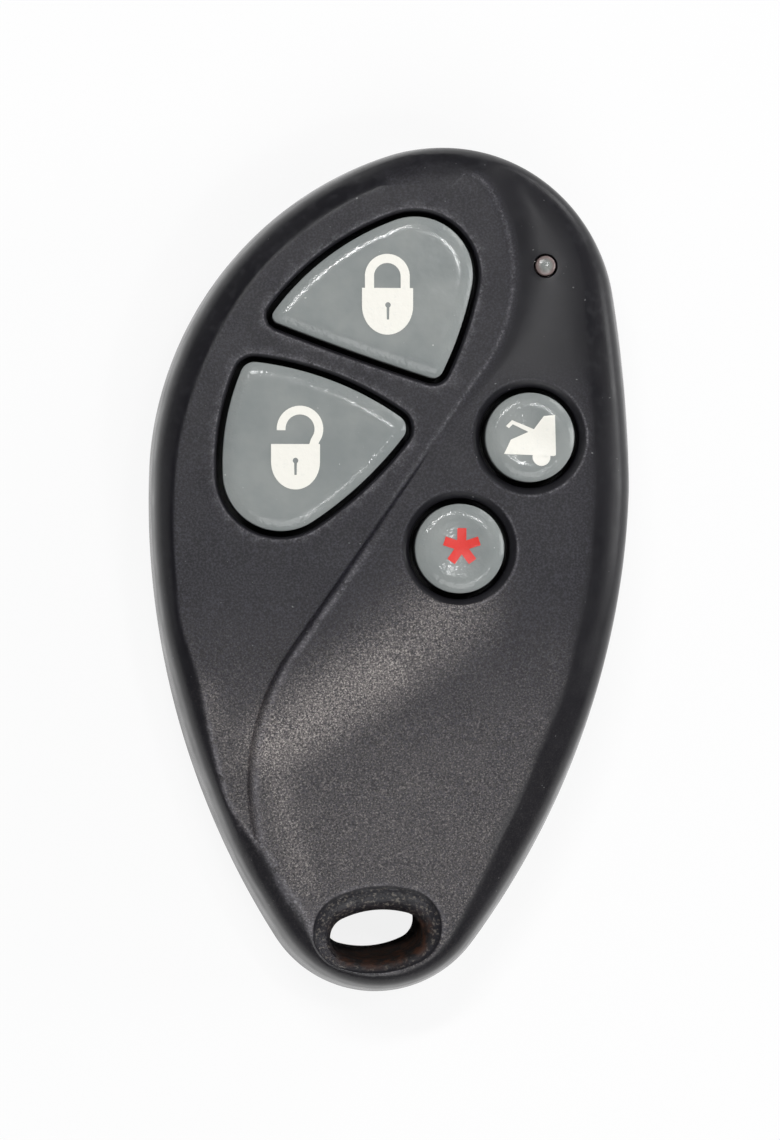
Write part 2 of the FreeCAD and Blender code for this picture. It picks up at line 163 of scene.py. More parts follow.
# %% [markdown]
# ## Floor and light
# The remote lies on a pale table under soft light. The table shows white to the camera and in
# reflections, and still takes a faint shadow. A narrow window lamp above the upper end draws the thin
# bright lines on the key edges, a wide ceiling lamp fills from the lower end, two small ones put glare
# on the round keys, and two walls light the shoulder at the right. Lamps are area lights, because
# their size is what makes a highlight soft.

# %% World and floor
scene = bpy.context.scene
scene.view_settings.view_transform = "Standard"
world = bpy.data.worlds.new("studio_air")
scene.world = world
world.use_nodes = True
air = world.node_tree
air.nodes.clear()
# The air is bright near the horizon for matt surfaces alone. Mirrored rays see it dim, so that black
# plastic stays black.
horizon_light, mirrored_light = 0.95, 0.12
way = add(air, "ShaderNodeTexCoord", out="Generated")
height = add(air, "ShaderNodeSeparateXYZ", {"Vector": way}, out="Z")
tent = add(air, "ShaderNodeMapRange", {"Value": height, "From Min": 0.1, "From Max": 0.6,
                                       "To Min": horizon_light, "To Max": 0.0})
soft_ray = add(air, "ShaderNodeLightPath", out="Is Diffuse Ray")
tent = add(air, "ShaderNodeMath", {0: tent, 1: soft_ray, 2: mirrored_light},
           operation="MULTIPLY_ADD")
room_light = add(air, "ShaderNodeBackground", {"Color": hex_colour("#F2F3F8"), "Strength": tent})
white_back = add(air, "ShaderNodeBackground", {"Color": (1, 1, 1, 1), "Strength": 1.0})
camera_ray = add(air, "ShaderNodeLightPath", out="Is Camera Ray")
sky = add(air, "ShaderNodeMixShader", {0: camera_ray, 1: room_light, 2: white_back})
add(air, "ShaderNodeOutputWorld", {"Surface": sky})

floor_half, floor_drop = 3.0, 0.02 * MM
floor_mesh = bpy.data.meshes.new("pale_table")
floor_mesh.from_pydata([(x * floor_half, y * floor_half, cad_low.z - floor_drop)
                        for x, y in ((-1, -1), (1, -1), (1, 1), (-1, 1))], [], [(0, 1, 2, 3)])
floor = linked("pale_table", floor_mesh)
table = bpy.data.materials.new("pale laminate table")
table.use_nodes = True
tree = table.node_tree
tree.nodes.clear()
# Under the key ring hole the remote shades the table, so no white is mirrored in the hole's wall.
spot = add(tree, "ShaderNodeTexCoord", out="Object")
under_hole = (eye_place[0] * MM, eye_place[1] * MM, cad_low.z)
reach = add(tree, "ShaderNodeVectorMath", {0: spot, 1: under_hole}, out="Value",
            operation="DISTANCE")
open_table = add(tree, "ShaderNodeMapRange", {"Value": reach, "From Min": 4 * MM,
                                              "From Max": 7 * MM})
mirrored = add(tree, "ShaderNodeLightPath", out="Is Glossy Ray")
seen = add(tree, "ShaderNodeMath", {0: mirrored, 1: open_table}, operation="MULTIPLY")
for kind_of_ray in ("Is Camera Ray", "Is Transmission Ray"):
    ray = add(tree, "ShaderNodeLightPath", out=kind_of_ray)
    seen = add(tree, "ShaderNodeMath", {0: seen, 1: ray}, operation="MAXIMUM")
white_share = 0.86
share = add(tree, "ShaderNodeMath", {0: seen, 1: white_share}, operation="MULTIPLY")
lit = add(tree, "ShaderNodeBsdfDiffuse", {"Color": hex_colour("#F0F0F0")})
white = add(tree, "ShaderNodeEmission", {"Color": (1, 1, 1, 1), "Strength": 1.0})
table_top = add(tree, "ShaderNodeMixShader", {0: share, 1: lit, 2: white})
add(tree, "ShaderNodeOutputMaterial", {"Surface": table_top})
floor_mesh.materials.append(table)

# %% Lamps


def soft_lamp(name, place, width, height, watts):
    """A soft box that faces the middle of the remote."""
    data = bpy.data.lights.new(name, "AREA")
    data.shape = "RECTANGLE"
    data.size, data.size_y, data.energy = width, height, watts
    lamp = linked(name, data)
    lamp.location = place
    lamp.rotation_mode = "QUATERNION"
    lamp.rotation_quaternion = (aim_point - Vector(place)).to_track_quat("-Z", "Y")
    print("lamp", name, watts, "W")


soft_lamp("window", (-0.09, 0.24, 0.54), 0.2, 0.032, 1.4)
soft_lamp("ceiling", (0.03, -0.42, 0.62), 0.45, 0.4, 1.75)
soft_lamp("strip", (0.17, -0.17, 0.52), 0.06, 0.04, 0.25)
soft_lamp("glint", (0.11, 0.12, 0.56), 0.06, 0.02, 0.3)
soft_lamp("right_wall", (0.5, 0.05, 0.16), 0.2, 0.25, 0.7)
soft_lamp("upper_wall", (0.36, 0.38, 0.15), 0.2, 0.2, 0.55)

# %% [markdown]
# ## Outlines from arcs
# The case and keys are drawn the way a mould maker draws them: corner arcs joined by flatter side
# arcs that meet them smoothly. Because every point lies on an arc, a parallel outline is the same
# list with other radii, and the distance of any point to the edge is exact.

# %% Outline helpers


def side_arcs(corners, sides):
    """Side arcs that touch the corner arcs at their ends."""
    arcs = []
    for (ax, ay, ar), (bx, by, br), side in zip(corners, corners[1:] + corners[:1], sides):
        span = math.hypot(bx - ax, by - ay)
        along = ((side - ar) ** 2 - (side - br) ** 2 + span ** 2) / (2 * span)
        across = math.sqrt((side - ar) ** 2 - along ** 2)
        ux, uy = (bx - ax) / span, (by - ay) / span
        arcs.append((ax + ux * along - uy * across, ay + uy * along + ux * across, side))
    return arcs


def outline_arcs(corners, sides=()):
    """All arcs of a closed outline in order: centre x and y, radius, start angle and turn."""
    if len(corners) == 1:
        return [(*corners[0], 0.0, TURN)]
    links = side_arcs(corners, sides)
    arcs = []
    starts = [math.atan2(y - links[i - 1][1], x - links[i - 1][0])
              for i, (x, y, r) in enumerate(corners)]
    for i, (x, y, r) in enumerate(corners):
        end = math.atan2(y - links[i][1], x - links[i][0])
        arcs.append((x, y, r, starts[i], (end - starts[i]) % TURN))
        arcs.append((*links[i], end, (starts[(i + 1) % len(corners)] - end) % TURN))
    return arcs


def ring(arcs, grow, count):
    """Points along an outline, grown sideways; the same count always gives matching points."""
    lengths = np.array([r * turn for x, y, r, start, turn in arcs])
    ends = np.cumsum(lengths)
    places = np.arange(count) * ends[-1] / count
    which = np.searchsorted(ends, places, side="right")
    x, y, r, start, turn = np.array(arcs)[which].T
    angle = start + (places - (ends - lengths)[which]) / r
    return np.stack([x + (r + grow) * np.cos(angle), y + (r + grow) * np.sin(angle)], 1)


def inside_by(arcs, x, y):
    """How far inside an outline each point lies; negative is outside."""
    depth = np.full(np.shape(x), 1e9)
    for cx, cy, r, start, turn in arcs:
        angle = (np.arctan2(y - cy, x - cx) - start) % TURN
        faces = (angle <= turn + 1e-6) | (angle >= TURN - 1e-6)
        depth = np.where(faces, np.minimum(depth, r - np.hypot(x - cx, y - cy)), depth)
    return depth


def smooth(value, low, high):
    """Smooth step from 0 at low to 1 at high."""
    t = np.clip((value - low) / (high - low), 0, 1)
    return t * t * (3 - 2 * t)


# %% The case's outline
crown_r, left_r, nose_r, right_r = 13.64, 22.0, 9.34, 20.0
crown_x, nose_x = 4.05, -1.12
case_corners = [(crown_x, tail_end - crown_r, crown_r), (left_r - case_width / 2, 7.06, left_r),
                (nose_x, nose_end + nose_r, nose_r), (case_width / 2 - right_r, 6.59, right_r)]
case_arcs = outline_arcs(case_corners, (27.32, 63.38, 62.95, 104.56))
case_points = ring(case_arcs, 0, 400)
print("outline spans", case_points.min(0).round(2), case_points.max(0).round(2))

# %% [markdown]
# ## The face
# The face is two gently arched panels that cross. Near the status light the panel of the large keys
# stands higher and slopes down softly; towards the key ring the other panel stands higher, with a
# crisp foot and a rounded edge. Written as one height function, the surface can be meshed anywhere.

# %% Heights of the face
crest = 13.4
panel_arch_r = 450.0
left_crest_y, right_crest_y = 15.2, 0.8
parting = case_low[2]
# The side leans in a little, turns over a small radius and goes on as a flatter shoulder. Each
# stretch is given as its length and the tilt of the surface at its end.
profile_start = 82.0
profile = ((4.6, 79.5), (1.75, 31.0), (5.0, 12.0))
# How wide the shoulder is drawn out, by angle round the case from the right: narrow at the left,
# wide at the upper right and round the key ring hole.
spread_angles = np.array([0, 50, 85, 120, 165, 190, 215, 232, 243, 250, 256, 268, 290, 305, 330,
                          360.0])
spread_values = np.array([0.93, 1.15, 0.85, 0.7, 0.56, 0.6, 1.0, 1.08, 0.98, 1.18, 1.38, 1.35, 1.35,
                          1.22, 0.97, 0.93])
# The S line is two arcs joined by a straight run.
s_upper, s_upper_r = np.array([-3.65, 22.57]), 12.87
s_lower, s_lower_r, s_lower_end = np.array([6.51, -16.25]), 17.72, math.radians(206.0)

along = (s_lower - s_upper) / np.linalg.norm(s_lower - s_upper)
sine = (s_upper_r + s_lower_r) / np.linalg.norm(s_lower - s_upper)
lean = along * sine + np.array([-along[1], along[0]]) * math.sqrt(1 - sine ** 2)
s_first = s_upper + lean * s_upper_r
s_second = s_lower - lean * s_lower_r
s_run = np.linalg.norm(s_second - s_first)
s_way = (s_second - s_first) / s_run
# At the upper end the line curls over into the shoulder on a smaller arc.
curl_angle, curl_r, curl_end = math.radians(31.0), 2.6, math.radians(90.0)
s_curl = s_upper + (s_upper_r - curl_r) * np.array([math.cos(curl_angle), math.sin(curl_angle)])
curl_out = np.array([math.cos(curl_end), math.sin(curl_end)])


def step_side(x, y):
    """Distance from the S line, positive on the side of the large keys."""
    t = (x - s_first[0]) * s_way[0] + (y - s_first[1]) * s_way[1]
    straight = -((x - s_first[0]) * lean[0] + (y - s_first[1]) * lean[1])
    angle = np.arctan2(y - s_upper[1], x - s_upper[0])
    cx, cy = x - s_curl[0], y - s_curl[1]
    past_end = (np.arctan2(cy, cx) > curl_end) | (np.arctan2(cy, cx) < curl_angle - math.pi / 2)
    curl = curl_r - np.where(past_end, cx * curl_out[0] + cy * curl_out[1], np.hypot(cx, cy))
    upper = np.where((angle > curl_angle) | (angle < -math.pi / 2 - 0.2), curl,
                     s_upper_r - np.hypot(x - s_upper[0], y - s_upper[1]))
    lower = np.hypot(x - s_lower[0], y - s_lower[1]) - s_lower_r
    return np.where(t < 0, upper, np.where(t > s_run, lower, straight))


def peak(value, middle, width):
    """Bell curve that is 1 at its middle."""
    return np.exp(-((value - middle) / width) ** 2)


foot_width, foot_power = 0.7, 3.6
groove_depth, groove_width = 0.1, 0.075


def panel_height(x, y):
    """The two arched panels and the step between them."""
    left = crest - (y - left_crest_y) ** 2 / (2 * panel_arch_r)
    right = crest - (y - right_crest_y) ** 2 / (2 * panel_arch_r)
    left = left + (right - left) * (1 - smooth(y, -22.0, -17.0))
    side = step_side(x, y)
    rounded = 1 - (1 - np.clip(-side / foot_width, 0, 1)) ** foot_power
    # The soft slope widens towards the upper end.
    half = 0.5 + 1.1 * smooth(y, 13.0, 22.0)
    sloped = smooth(-side, -0.7 * half, 1.3 * half)
    height = left + (right - left) * np.where(right > left, rounded, sloped)
    groove = groove_depth * smooth(-y, -10.5, -7.0) * smooth(y, -23.0, -19.5)
    return height - groove * peak(side, 0.03, groove_width)


def side_profile(steps=60):
    """Insets and heights of the side and shoulder, walked in small steps from the parting up."""
    inset, height, tilt = [0.0], [parting], profile_start
    for length, end_tilt in profile:
        for k in range(steps):
            lean_now = math.radians(tilt + (end_tilt - tilt) * (k + 0.5) / steps)
            inset.append(inset[-1] + length / steps * math.cos(lean_now))
            height.append(height[-1] + length / steps * math.sin(lean_now))
        tilt = end_tilt
    return np.array(inset), np.array(height)


side_insets, side_heights = side_profile()
print("shoulder from", side_heights[0].round(2), "to", side_heights[-1].round(2))


def shoulder_spread(x, y):
    """How wide the shoulder is at a place, blended smoothly between the given angles."""
    angle = np.degrees(np.arctan2(y, x)) % 360
    i = np.clip(np.searchsorted(spread_angles, angle, side="right") - 1, 0, len(spread_angles) - 2)
    share = smooth(angle, spread_angles[i], spread_angles[i + 1])
    return spread_values[i] + (spread_values[i + 1] - spread_values[i]) * share


def shoulder_height(x, y, depth):
    """Height of the side and shoulder at an inset from the outline."""
    return np.interp(depth / shoulder_spread(x, y), side_insets, side_heights)


def face_height(x, y, depth=None):
    """Height of the case's face, with the crease between shoulder and panels eased."""
    if depth is None:
        depth = inside_by(case_arcs, x, y)
    # The crease is crisp at the left and fades away at the upper right.
    ease = 0.16 + smooth(x, 6.5, 13.0) * smooth(y, -13.0, 0.0)
    panel, shoulder = panel_height(x, y), shoulder_height(x, y, depth)
    h = np.clip(0.5 + 0.5 * (shoulder - panel) / ease, 0, 1)
    return shoulder + (panel - shoulder) * h - ease * h * (1 - h)


# %% [markdown]
# ## Openings of the face
# Each key comes up through its own opening. An opening's edge is not sharp: a short ramp leads
# down to the gap, and its upper edge is rubbed round. The two small keys sit in wider dishes. The key
# ring hole is a slot with a long flare, worn by the ring.

# %% Keys, light and key ring hole
key_gap, round_key_r = 0.45, 3.4
key_arcs = {
    "lock": outline_arcs([(1.4, 22.4, 4.4), (-8.9, 19.2, 0.55), (2.8, 15.3, 0.75)],
                         (20.1, 200.0, 27.7)),
    "unlock": outline_arcs([(-10.8, 14.6, 1.1), (-8.8, 7.3, 4.4), (-0.4, 10.7, 1.1)],
                           (18.3, 28.8, 24.0)),
    "trunk": outline_arcs([(case_width / 2 - 8.64, 10.05, round_key_r)]),
    "star": outline_arcs([(4.8, 1.57, round_key_r)]),
}
light_place = (case_width / 2 - 7.37, 23.2)
light_r, light_gap = 0.75, 0.15
light_arcs = outline_arcs([(*light_place, light_r)])

large_lip = ((0.0, 0.24), (0.02, 0.17), (0.05, 0.125), (0.09, 0.09), (0.14, 0.06), (0.19, 0.035),
             (0.24, 0.015), (0.29, 0.004), (0.36, 0.0))
dish_lip = ((0.0, 0.5), (0.02, 0.41), (0.08, 0.32), (0.18, 0.235), (0.3, 0.155), (0.42, 0.09),
            (0.52, 0.045), (0.62, 0.014), (0.74, 0.0))
light_lip = ((0.0, 0.1), (0.015, 0.04), (0.04, 0.01), (0.08, 0.0))

for name, arcs in key_arcs.items():
    print(name, "key", np.ptp(ring(arcs, 0, 200), axis=0).round(1), "mm")

eye_half_length, eye_half_height, eye_end_r = 3.55, 1.95, 1.6
eye_tilt = math.radians(5.0)
eye_flare, eye_shift, eye_depth = 1.3, 0.55, 0.6


def eye_arcs(step):
    """The key ring hole at step 0 and the outer edge of its flare at step 1."""
    reach, bulge = eye_half_length - eye_end_r, eye_half_height - eye_end_r
    side = (reach ** 2 + eye_half_height ** 2 - eye_end_r ** 2) / (2 * bulge)
    cx, cy = eye_place[0], eye_place[1] + eye_shift * step
    dx, dy = reach * math.cos(eye_tilt), reach * math.sin(eye_tilt)
    r = eye_end_r + eye_flare * step
    return outline_arcs([(cx + dx, cy + dy, r), (cx - dx, cy - dy, r)],
                        (side + eye_flare * step, side + eye_flare * step))


# %% [markdown]
# ## Meshing a surface with holes
# Rings of points follow every edge, so edges stay clean, and a Delaunay triangulation fills what
# lies between them. Rows of points run beside the S line and the shoulder, where the surface bends,
# and a plain triangular grid covers the rest.

# %% A small mesh builder


class Shell:
    """Collects points and faces, in millimetres."""

    def __init__(self):
        self.points, self.faces = [], []

    def loop(self, xy, z):
        """Adds a closed row of points and returns their numbers."""
        first = len(self.points)
        z = np.broadcast_to(z, len(xy))
        self.points += [(p[0], p[1], h) for p, h in zip(xy, z)]
        return list(range(first, first + len(xy)))

    def bridge(self, loops, flip=False):
        """Quads between each loop of a row and the next, matched point by point."""
        for a, b in zip(loops, loops[1:]):
            for i in range(len(a)):
                j = (i + 1) % len(a)
                quad = (a[i], a[j], b[j], b[i])
                self.faces.append(quad[::-1] if flip else quad)

    def fill(self, outer, holes, extra=(), height=None, down=False):
        """Triangles between an outer loop and hole loops, through extra points."""
        loops = [outer] + list(holes)
        numbers = [n for loop in loops for n in loop]
        extra = np.asarray(extra, float).reshape(-1, 2)
        flat = [Vector(self.points[n][:2]) for n in numbers] + [Vector(p) for p in extra]
        if len(extra):
            numbers += self.loop(extra, height(*extra.T))
        edges, owner, first = [], {}, 0
        for k, loop in enumerate(loops):
            size = len(loop)
            edges += [(first + i, first + (i + 1) % size) for i in range(size)]
            if k:
                owner.update({first + i: k for i in range(size)})
            first += size
        found = delaunay_2d_cdt(flat, edges, [], 1, 1e-7)
        if len(found[0]) != len(flat):
            print("fill: points changed from", len(flat), "to", len(found[0]))
        for triangle in found[2]:
            owners = {owner.get(i, 0) for i in triangle}
            if len(owners) == 1 and 0 not in owners:
                continue
            corners = [numbers[i] for i in triangle]
            self.faces.append(corners[::-1] if down else corners)

    def mesh(self, name):
        """The collected form as a mesh in metres."""
        mesh = bpy.data.meshes.new(name)
        mesh.from_pydata([Vector(p) * MM for p in self.points], [], self.faces)
        mesh.update()
        return mesh


def piece(name, mesh, body, material, replaced=(), crease=38.0):
    """Puts a mesh in the scene as a finished piece, which rides on a CAD body if one is named."""
    obj = linked(name, mesh)
    mesh.shade_smooth()
    mesh.set_sharp_from_angle(angle=math.radians(crease))
    mesh.materials.clear()
    mesh.materials.append(material)
    if body:
        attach(obj, body)
    if replaced:
        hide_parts(*replaced)
    print(name, len(mesh.vertices), "points,", len(mesh.polygons), "faces")
    return obj


def hex_grid(spacing, low, high):
    """Triangular grid of points over a box."""
    rows = np.arange(low[1], high[1], spacing * math.sqrt(3) / 2)
    grid = [(x + (i % 2) * spacing / 2, y) for i, y in enumerate(rows)
            for x in np.arange(low[0], high[0], spacing)]
    return np.array(grid)


# %% Front cover's skin
outline_count = 420
face_start = 1.0
eye_border, eye_border_drop, eye_throat_drop = 1.22, 0.22, 0.9


def lip_rings(shell, arcs, grow, lip, count):
    """Rings of an opening, from its outer lip on the face down to its wall."""
    rings = []
    for out, drop in reversed(lip):
        xy = ring(arcs, grow + out, count)
        rings.append(shell.loop(xy, face_height(*xy.T) - drop))
    rings.append(shell.loop(ring(arcs, grow, count), parting))
    shell.bridge(rings)
    return rings[0], rings[-1]


def eye_rings(shell, count=150):
    """Rings of the key ring hole: a soft outer edge, the worn flare and the wall."""
    rings = []
    for step in (eye_border, 1.12, 1.04, 0.98, 0.9, 0.75, 0.6, 0.45, 0.3, 0.16, 0.06, 0.0):
        xy = ring(eye_arcs(step), 0, count)
        drop = eye_depth * (1 - min(step, 1.0))
        drop += eye_border_drop * (1 - smooth(step, 0.8, eye_border))
        drop += eye_throat_drop * (1 - smooth(step, -0.1, 0.3))
        rings.append(shell.loop(xy, face_height(*xy.T) - drop))
    xy = ring(eye_arcs(0), 0, count)
    rings.append(shell.loop(xy, parting))
    shell.bridge(rings)
    return rings[0], rings[-1]


def rows_beside_step():
    """Rows of points that follow the S line, closer together where the surface bends."""
    spacing = 0.32
    rows = []
    for offset in (-1.0, -0.8, -0.66, -0.52, -0.4, -0.3, -0.2, -0.12, -0.05, 0.04, 0.12, 0.2, 0.3,
                   0.45, 0.62, 0.8):
        for centre, full_r, start, end in (
                (s_upper, s_upper_r, math.atan2(lean[1], lean[0]), curl_angle),
                (s_curl, curl_r, curl_angle, curl_end)):
            r = full_r - offset
            angles = np.arange(start, end, spacing / r)[1:]
            rows.append(centre + r * np.stack([np.cos(angles), np.sin(angles)], 1))
        spots = np.arange(0, s_run, spacing)[:, None]
        rows.append(s_first - lean * offset + s_way * spots)
        r = s_lower_r + offset
        start = math.atan2(-lean[1], -lean[0])
        angles = np.arange(start, s_lower_end, spacing / r)
        rows.append(s_lower + r * np.stack([np.cos(angles), np.sin(angles)], 1))
    return np.concatenate(rows)


def beside_step(p, reach):
    """True for points so near the S line that its own rows take their place."""
    on_line = (p[:, 1] > -23.5) & (p[:, 1] < 32.5)
    return (np.abs(step_side(*p.T)) < reach) & on_line


def face_points():
    """Points that fill the face between the rings."""
    row_gap, rows_end, grid_gap, apart = 0.15, 3.5, 0.62, 0.12
    depths = np.arange(face_start + row_gap, rows_end, row_gap)
    shoulder_rows = np.concatenate([ring(case_arcs, -d, outline_count) for d in depths])
    shoulder_rows = shoulder_rows[~beside_step(shoulder_rows, 1.15)]
    grid = hex_grid(grid_gap, case_low[:2], case_high[:2])
    deep = inside_by(case_arcs, *grid.T) > rows_end + 0.25
    grid = grid[deep & ~beside_step(grid, 1.3)]
    points = np.concatenate([rows_beside_step(), shoulder_rows, grid])
    keep = inside_by(case_arcs, *points.T) > face_start + 0.08
    for arcs in key_arcs.values():
        lip = dish_lip if len(arcs) == 1 else large_lip
        keep &= inside_by(arcs, *points.T) < -(key_gap + lip[-1][0] + apart)
    keep &= inside_by(light_arcs, *points.T) < -(light_gap + light_lip[-1][0] + apart)
    keep &= inside_by(eye_arcs(eye_border), *points.T) < -apart
    return points[keep]


def front_skin():
    """The front cover's outside as a closed form with a flat underside at the parting."""
    shell = Shell()
    side = [(0.16, parting), (0.06, parting + 0.03), (0.01, parting + 0.12)]
    loops = [shell.loop(ring(case_arcs, -inset, outline_count), z) for inset, z in side]
    for depth in (0.05, 0.12, 0.19, 0.25, 0.3, 0.36, 0.44, 0.53, 0.64, 0.76, 0.88, face_start):
        xy = ring(case_arcs, -depth, outline_count)
        loops.append(shell.loop(xy, face_height(*xy.T, depth)))
    shell.bridge(loops)
    print("side of the front cover", len(loops), "rings")
    openings = []
    for arcs in key_arcs.values():
        lip, count = (dish_lip, 90) if len(arcs) == 1 else (large_lip, 150)
        openings.append(lip_rings(shell, arcs, key_gap, lip, count))
    openings += [lip_rings(shell, light_arcs, light_gap, light_lip, 40), eye_rings(shell)]
    tops, feet = zip(*openings)
    shell.fill(loops[-1], tops, face_points(), face_height)
    shell.fill(loops[0], feet, down=True)
    return shell.mesh("front_cover_skin")


front_mesh = front_skin()
print("front skin", len(front_mesh.polygons), "faces")

# %% [markdown]
# ## Hollowing the covers
# The inside is plain: a cavity, two screw bosses and four posts that hold the board down. The skin
# is a watertight form, so these are cut and joined with Boolean modifiers and their Manifold solver,
# which is exact on closed forms and quick on fine ones.

# %% Cutters and joins


def stack(rings, name="form"):
    """Closed form through matching rings, each given as points and height, from the bottom up."""
    shell = Shell()
    loops = [shell.loop(xy, z) for xy, z in rings]
    shell.bridge(loops)
    shell.faces += [loops[0][::-1], loops[-1]]
    return shell.mesh(name)


def prism(xy, low, high):
    """Closed upright form over a loop."""
    return stack([(xy, low), (xy, high)])


def turned(profile, place, count=64, name="form"):
    """Closed form turned about an upright axis; the profile gives radii and heights."""
    return stack([(ring(outline_arcs([(*place, r)]), 0, count), z) for r, z in profile], name)


def cylinder(place, r, low, high, count=64):
    """Closed upright cylinder."""
    return turned(((r, low), (r, high)), place, count)


def evaluated_mesh(obj):
    """What an object's modifiers make of it, as a plain mesh."""
    bpy.context.view_layer.update()
    evaluated = obj.evaluated_get(bpy.context.evaluated_depsgraph_get())
    return bpy.data.meshes.new_from_object(evaluated)


def combine(mesh, changes):
    """Applies a list of (operation, mesh) to a closed mesh."""
    base = linked("base", mesh)
    tools = []
    for operation, tool_mesh in changes:
        tools.append(linked("tool", tool_mesh))
        change = base.modifiers.new(operation, "BOOLEAN")
        change.operation, change.solver, change.object = operation, "MANIFOLD", tools[-1]
    result = evaluated_mesh(base)
    for obj in [base] + tools:
        bpy.data.objects.remove(obj)
    return result


def above_line(xy, y):
    """The part of a convex loop above a line across the case."""
    out = []
    for a, b in zip(xy, np.roll(xy, -1, axis=0)):
        if a[1] >= y:
            out.append(tuple(a))
        if (a[1] - y) * (b[1] - y) < 0:
            t = (y - a[1]) / (b[1] - a[1])
            out.append(tuple(a + (b - a) * t))
    return np.array(out)


ceiling, board_top, board_low = 10.9, 6.6, 5.6
rim_width, case_wall, ledge_width, back_wall = 0.8, 1.6, 1.2, 1.5
rim_gap = 0.1
tongue_top = parting + 0.9
nose_block_top = eye_place[1] + eye_shift + eye_half_height + eye_flare + 1.2
boss_r, boss_inset, post_r = 2.9, 4.4, 1.0
pilot_r, pilot_top = 0.85, 10.05
boss_reach, boss_angle = crown_r - boss_inset, math.radians(60.0)
bosses = [(crown_x + boss_reach * math.cos(boss_angle),
           tail_end - crown_r + boss_reach * math.sin(boss_angle)),
          (nose_x, nose_block_top + boss_r - 0.3)]
posts = [(-3.9, 26.9), (12.6, 16.6), (-12.6, -0.6), (13.2, 1.8)]


def cavity(low, high, inset):
    """Inside of the case, which ends at the solid block round the key ring hole."""
    return prism(above_line(ring(case_arcs, -inset, 240), nose_block_top), low, high)


front_changes = [("DIFFERENCE", prism(ring(case_arcs, -rim_width, 300), parting - 1, tongue_top)),
                 ("DIFFERENCE", cavity(tongue_top - 0.2, ceiling, case_wall))]
front_changes += [("UNION", cylinder(place, boss_r, parting, ceiling + 0.3)) for place in bosses]
front_changes += [("UNION", cylinder(place, post_r, board_top, ceiling + 0.3, 32))
                  for place in posts]
front_changes += [("DIFFERENCE", cylinder(place, pilot_r, parting - 1, pilot_top, 32))
                  for place in bosses]
front_mesh = combine(front_mesh, front_changes)
print("front cover", len(front_mesh.polygons), "faces")

# %% Rear cover
seam_top = parting - 0.2
back_edge_r = 2.5
angles = np.radians(np.linspace(0, 90, 15))
rear_profile = [(back_edge_r * (1 - math.sin(a)), back_edge_r * (1 - math.cos(a))) for a in angles]
rear_profile += [(0.0, 4.4), (0.0, seam_top - 0.12), (0.05, seam_top - 0.03), (0.16, seam_top)]
rear_mesh = stack([(ring(case_arcs, -inset, outline_count), z) for inset, z in rear_profile])
back_eye = [(ring(eye_arcs(step), 0, 150), z)
            for step, z in ((1.5, -0.6), (1.05, -0.04), (0.97, 0.05), (0.85, 0.2), (0.5, 0.62),
                            (0.2, 0.98), (0.06, 1.14), (0.0, 1.3), (0.0, 9.0))]
screw_seat, screw_hole_r = 1.9, 1.1
rear_changes = [("UNION", prism(ring(case_arcs, -(rim_width + rim_gap), 300), 3.0, tongue_top)),
                ("DIFFERENCE", cavity(back_wall, board_low, case_wall + ledge_width)),
                ("DIFFERENCE", cavity(board_low - 0.1, tongue_top + 1, case_wall))]
for place in bosses:
    rear_changes += [("DIFFERENCE", cylinder(place, boss_r + rim_gap, parting, tongue_top + 1)),
                     ("UNION", cylinder(place, boss_r, back_wall - 0.3, parting))]
recess = ((2.1, -0.2), (1.9, 0.0), (1.79, 0.08), (1.75, 0.2), (1.75, screw_seat))
for place in bosses:
    rear_changes += [("DIFFERENCE", turned(recess, place)),
                     ("DIFFERENCE", cylinder(place, screw_hole_r, screw_seat - 0.1, parting + 1, 48))]
rear_changes.append(("DIFFERENCE", stack(back_eye)))
rear_mesh = combine(rear_mesh, rear_changes)
print("rear cover", len(rear_mesh.polygons), "faces")

# %% [markdown]
# ## Moulded black ABS
# Car remotes are moulded in black ABS. The panels come from a spark-eroded mould and carry a fine
# matt grain; the shoulder is smooth and has been polished further by pockets and keys. Where the
# thumb and the ring rub, the grain is worn down to pale speckles, and these speckles also paint the
# sheen of light on the lower face. Pale lines on the edges are partly rubbing and partly painted
# highlight. Painted masks would need an image, so the masks that say where each of these is come
# from the same height functions and are stored on the mesh as attributes.

# %% Masks on the case


def store(mesh, name, values):
    """Keeps one number for each point of a mesh."""
    layer = mesh.attributes.new(name, "FLOAT", "POINT")
    layer.data.foreach_set("value", np.asarray(values, np.float32))


def mesh_points(mesh):
    """All points of a mesh, in millimetres."""
    flat = np.zeros(len(mesh.vertices) * 3, np.float32)
    mesh.vertices.foreach_get("co", flat)
    return flat.reshape(-1, 3).astype(float) / MM


def near_line(x, y, a, b, reach):
    """Falls from 1 on a line between two points to 0 well away from it."""
    a, b = np.array(a, float), np.array(b, float)
    t = np.clip(((x - a[0]) * (b - a)[0] + (y - a[1]) * (b - a)[1]) / ((b - a) @ (b - a)), 0, 1)
    gap = np.hypot(x - a[0] - t * (b - a)[0], y - a[1] - t * (b - a)[1])
    return peak(gap, 0, reach)


# Strokes of the thumb and the ring, where worn grain and a painted sheen lie: both ends, how
# strongly they rub and how far they reach.
rub_and_sheen_strokes = (((-9.5, -13.5), (-1.0, -7.6), 1.0, 2.9), ((-1.0, -7.6), (4.0, -3.5), 0.7, 3.2),
               ((-10.3, -12.0), (-7.0, -24.0), 0.65, 1.6), ((-14.4, -9.5), (-11.2, -18.5), 0.4, 1.5))


def rub_and_sheen_mask(x, y):
    """Where the grain is worn down and a sheen is painted pale: on the strokes, and a little all over
    the lower end.
    """
    rub_and_sheen = 0.34 * smooth(-y, 0.0, 20.0)
    for start, end, strength, reach in rub_and_sheen_strokes:
        rub_and_sheen = np.maximum(rub_and_sheen, strength * near_line(x, y, start, end, reach))
    return rub_and_sheen


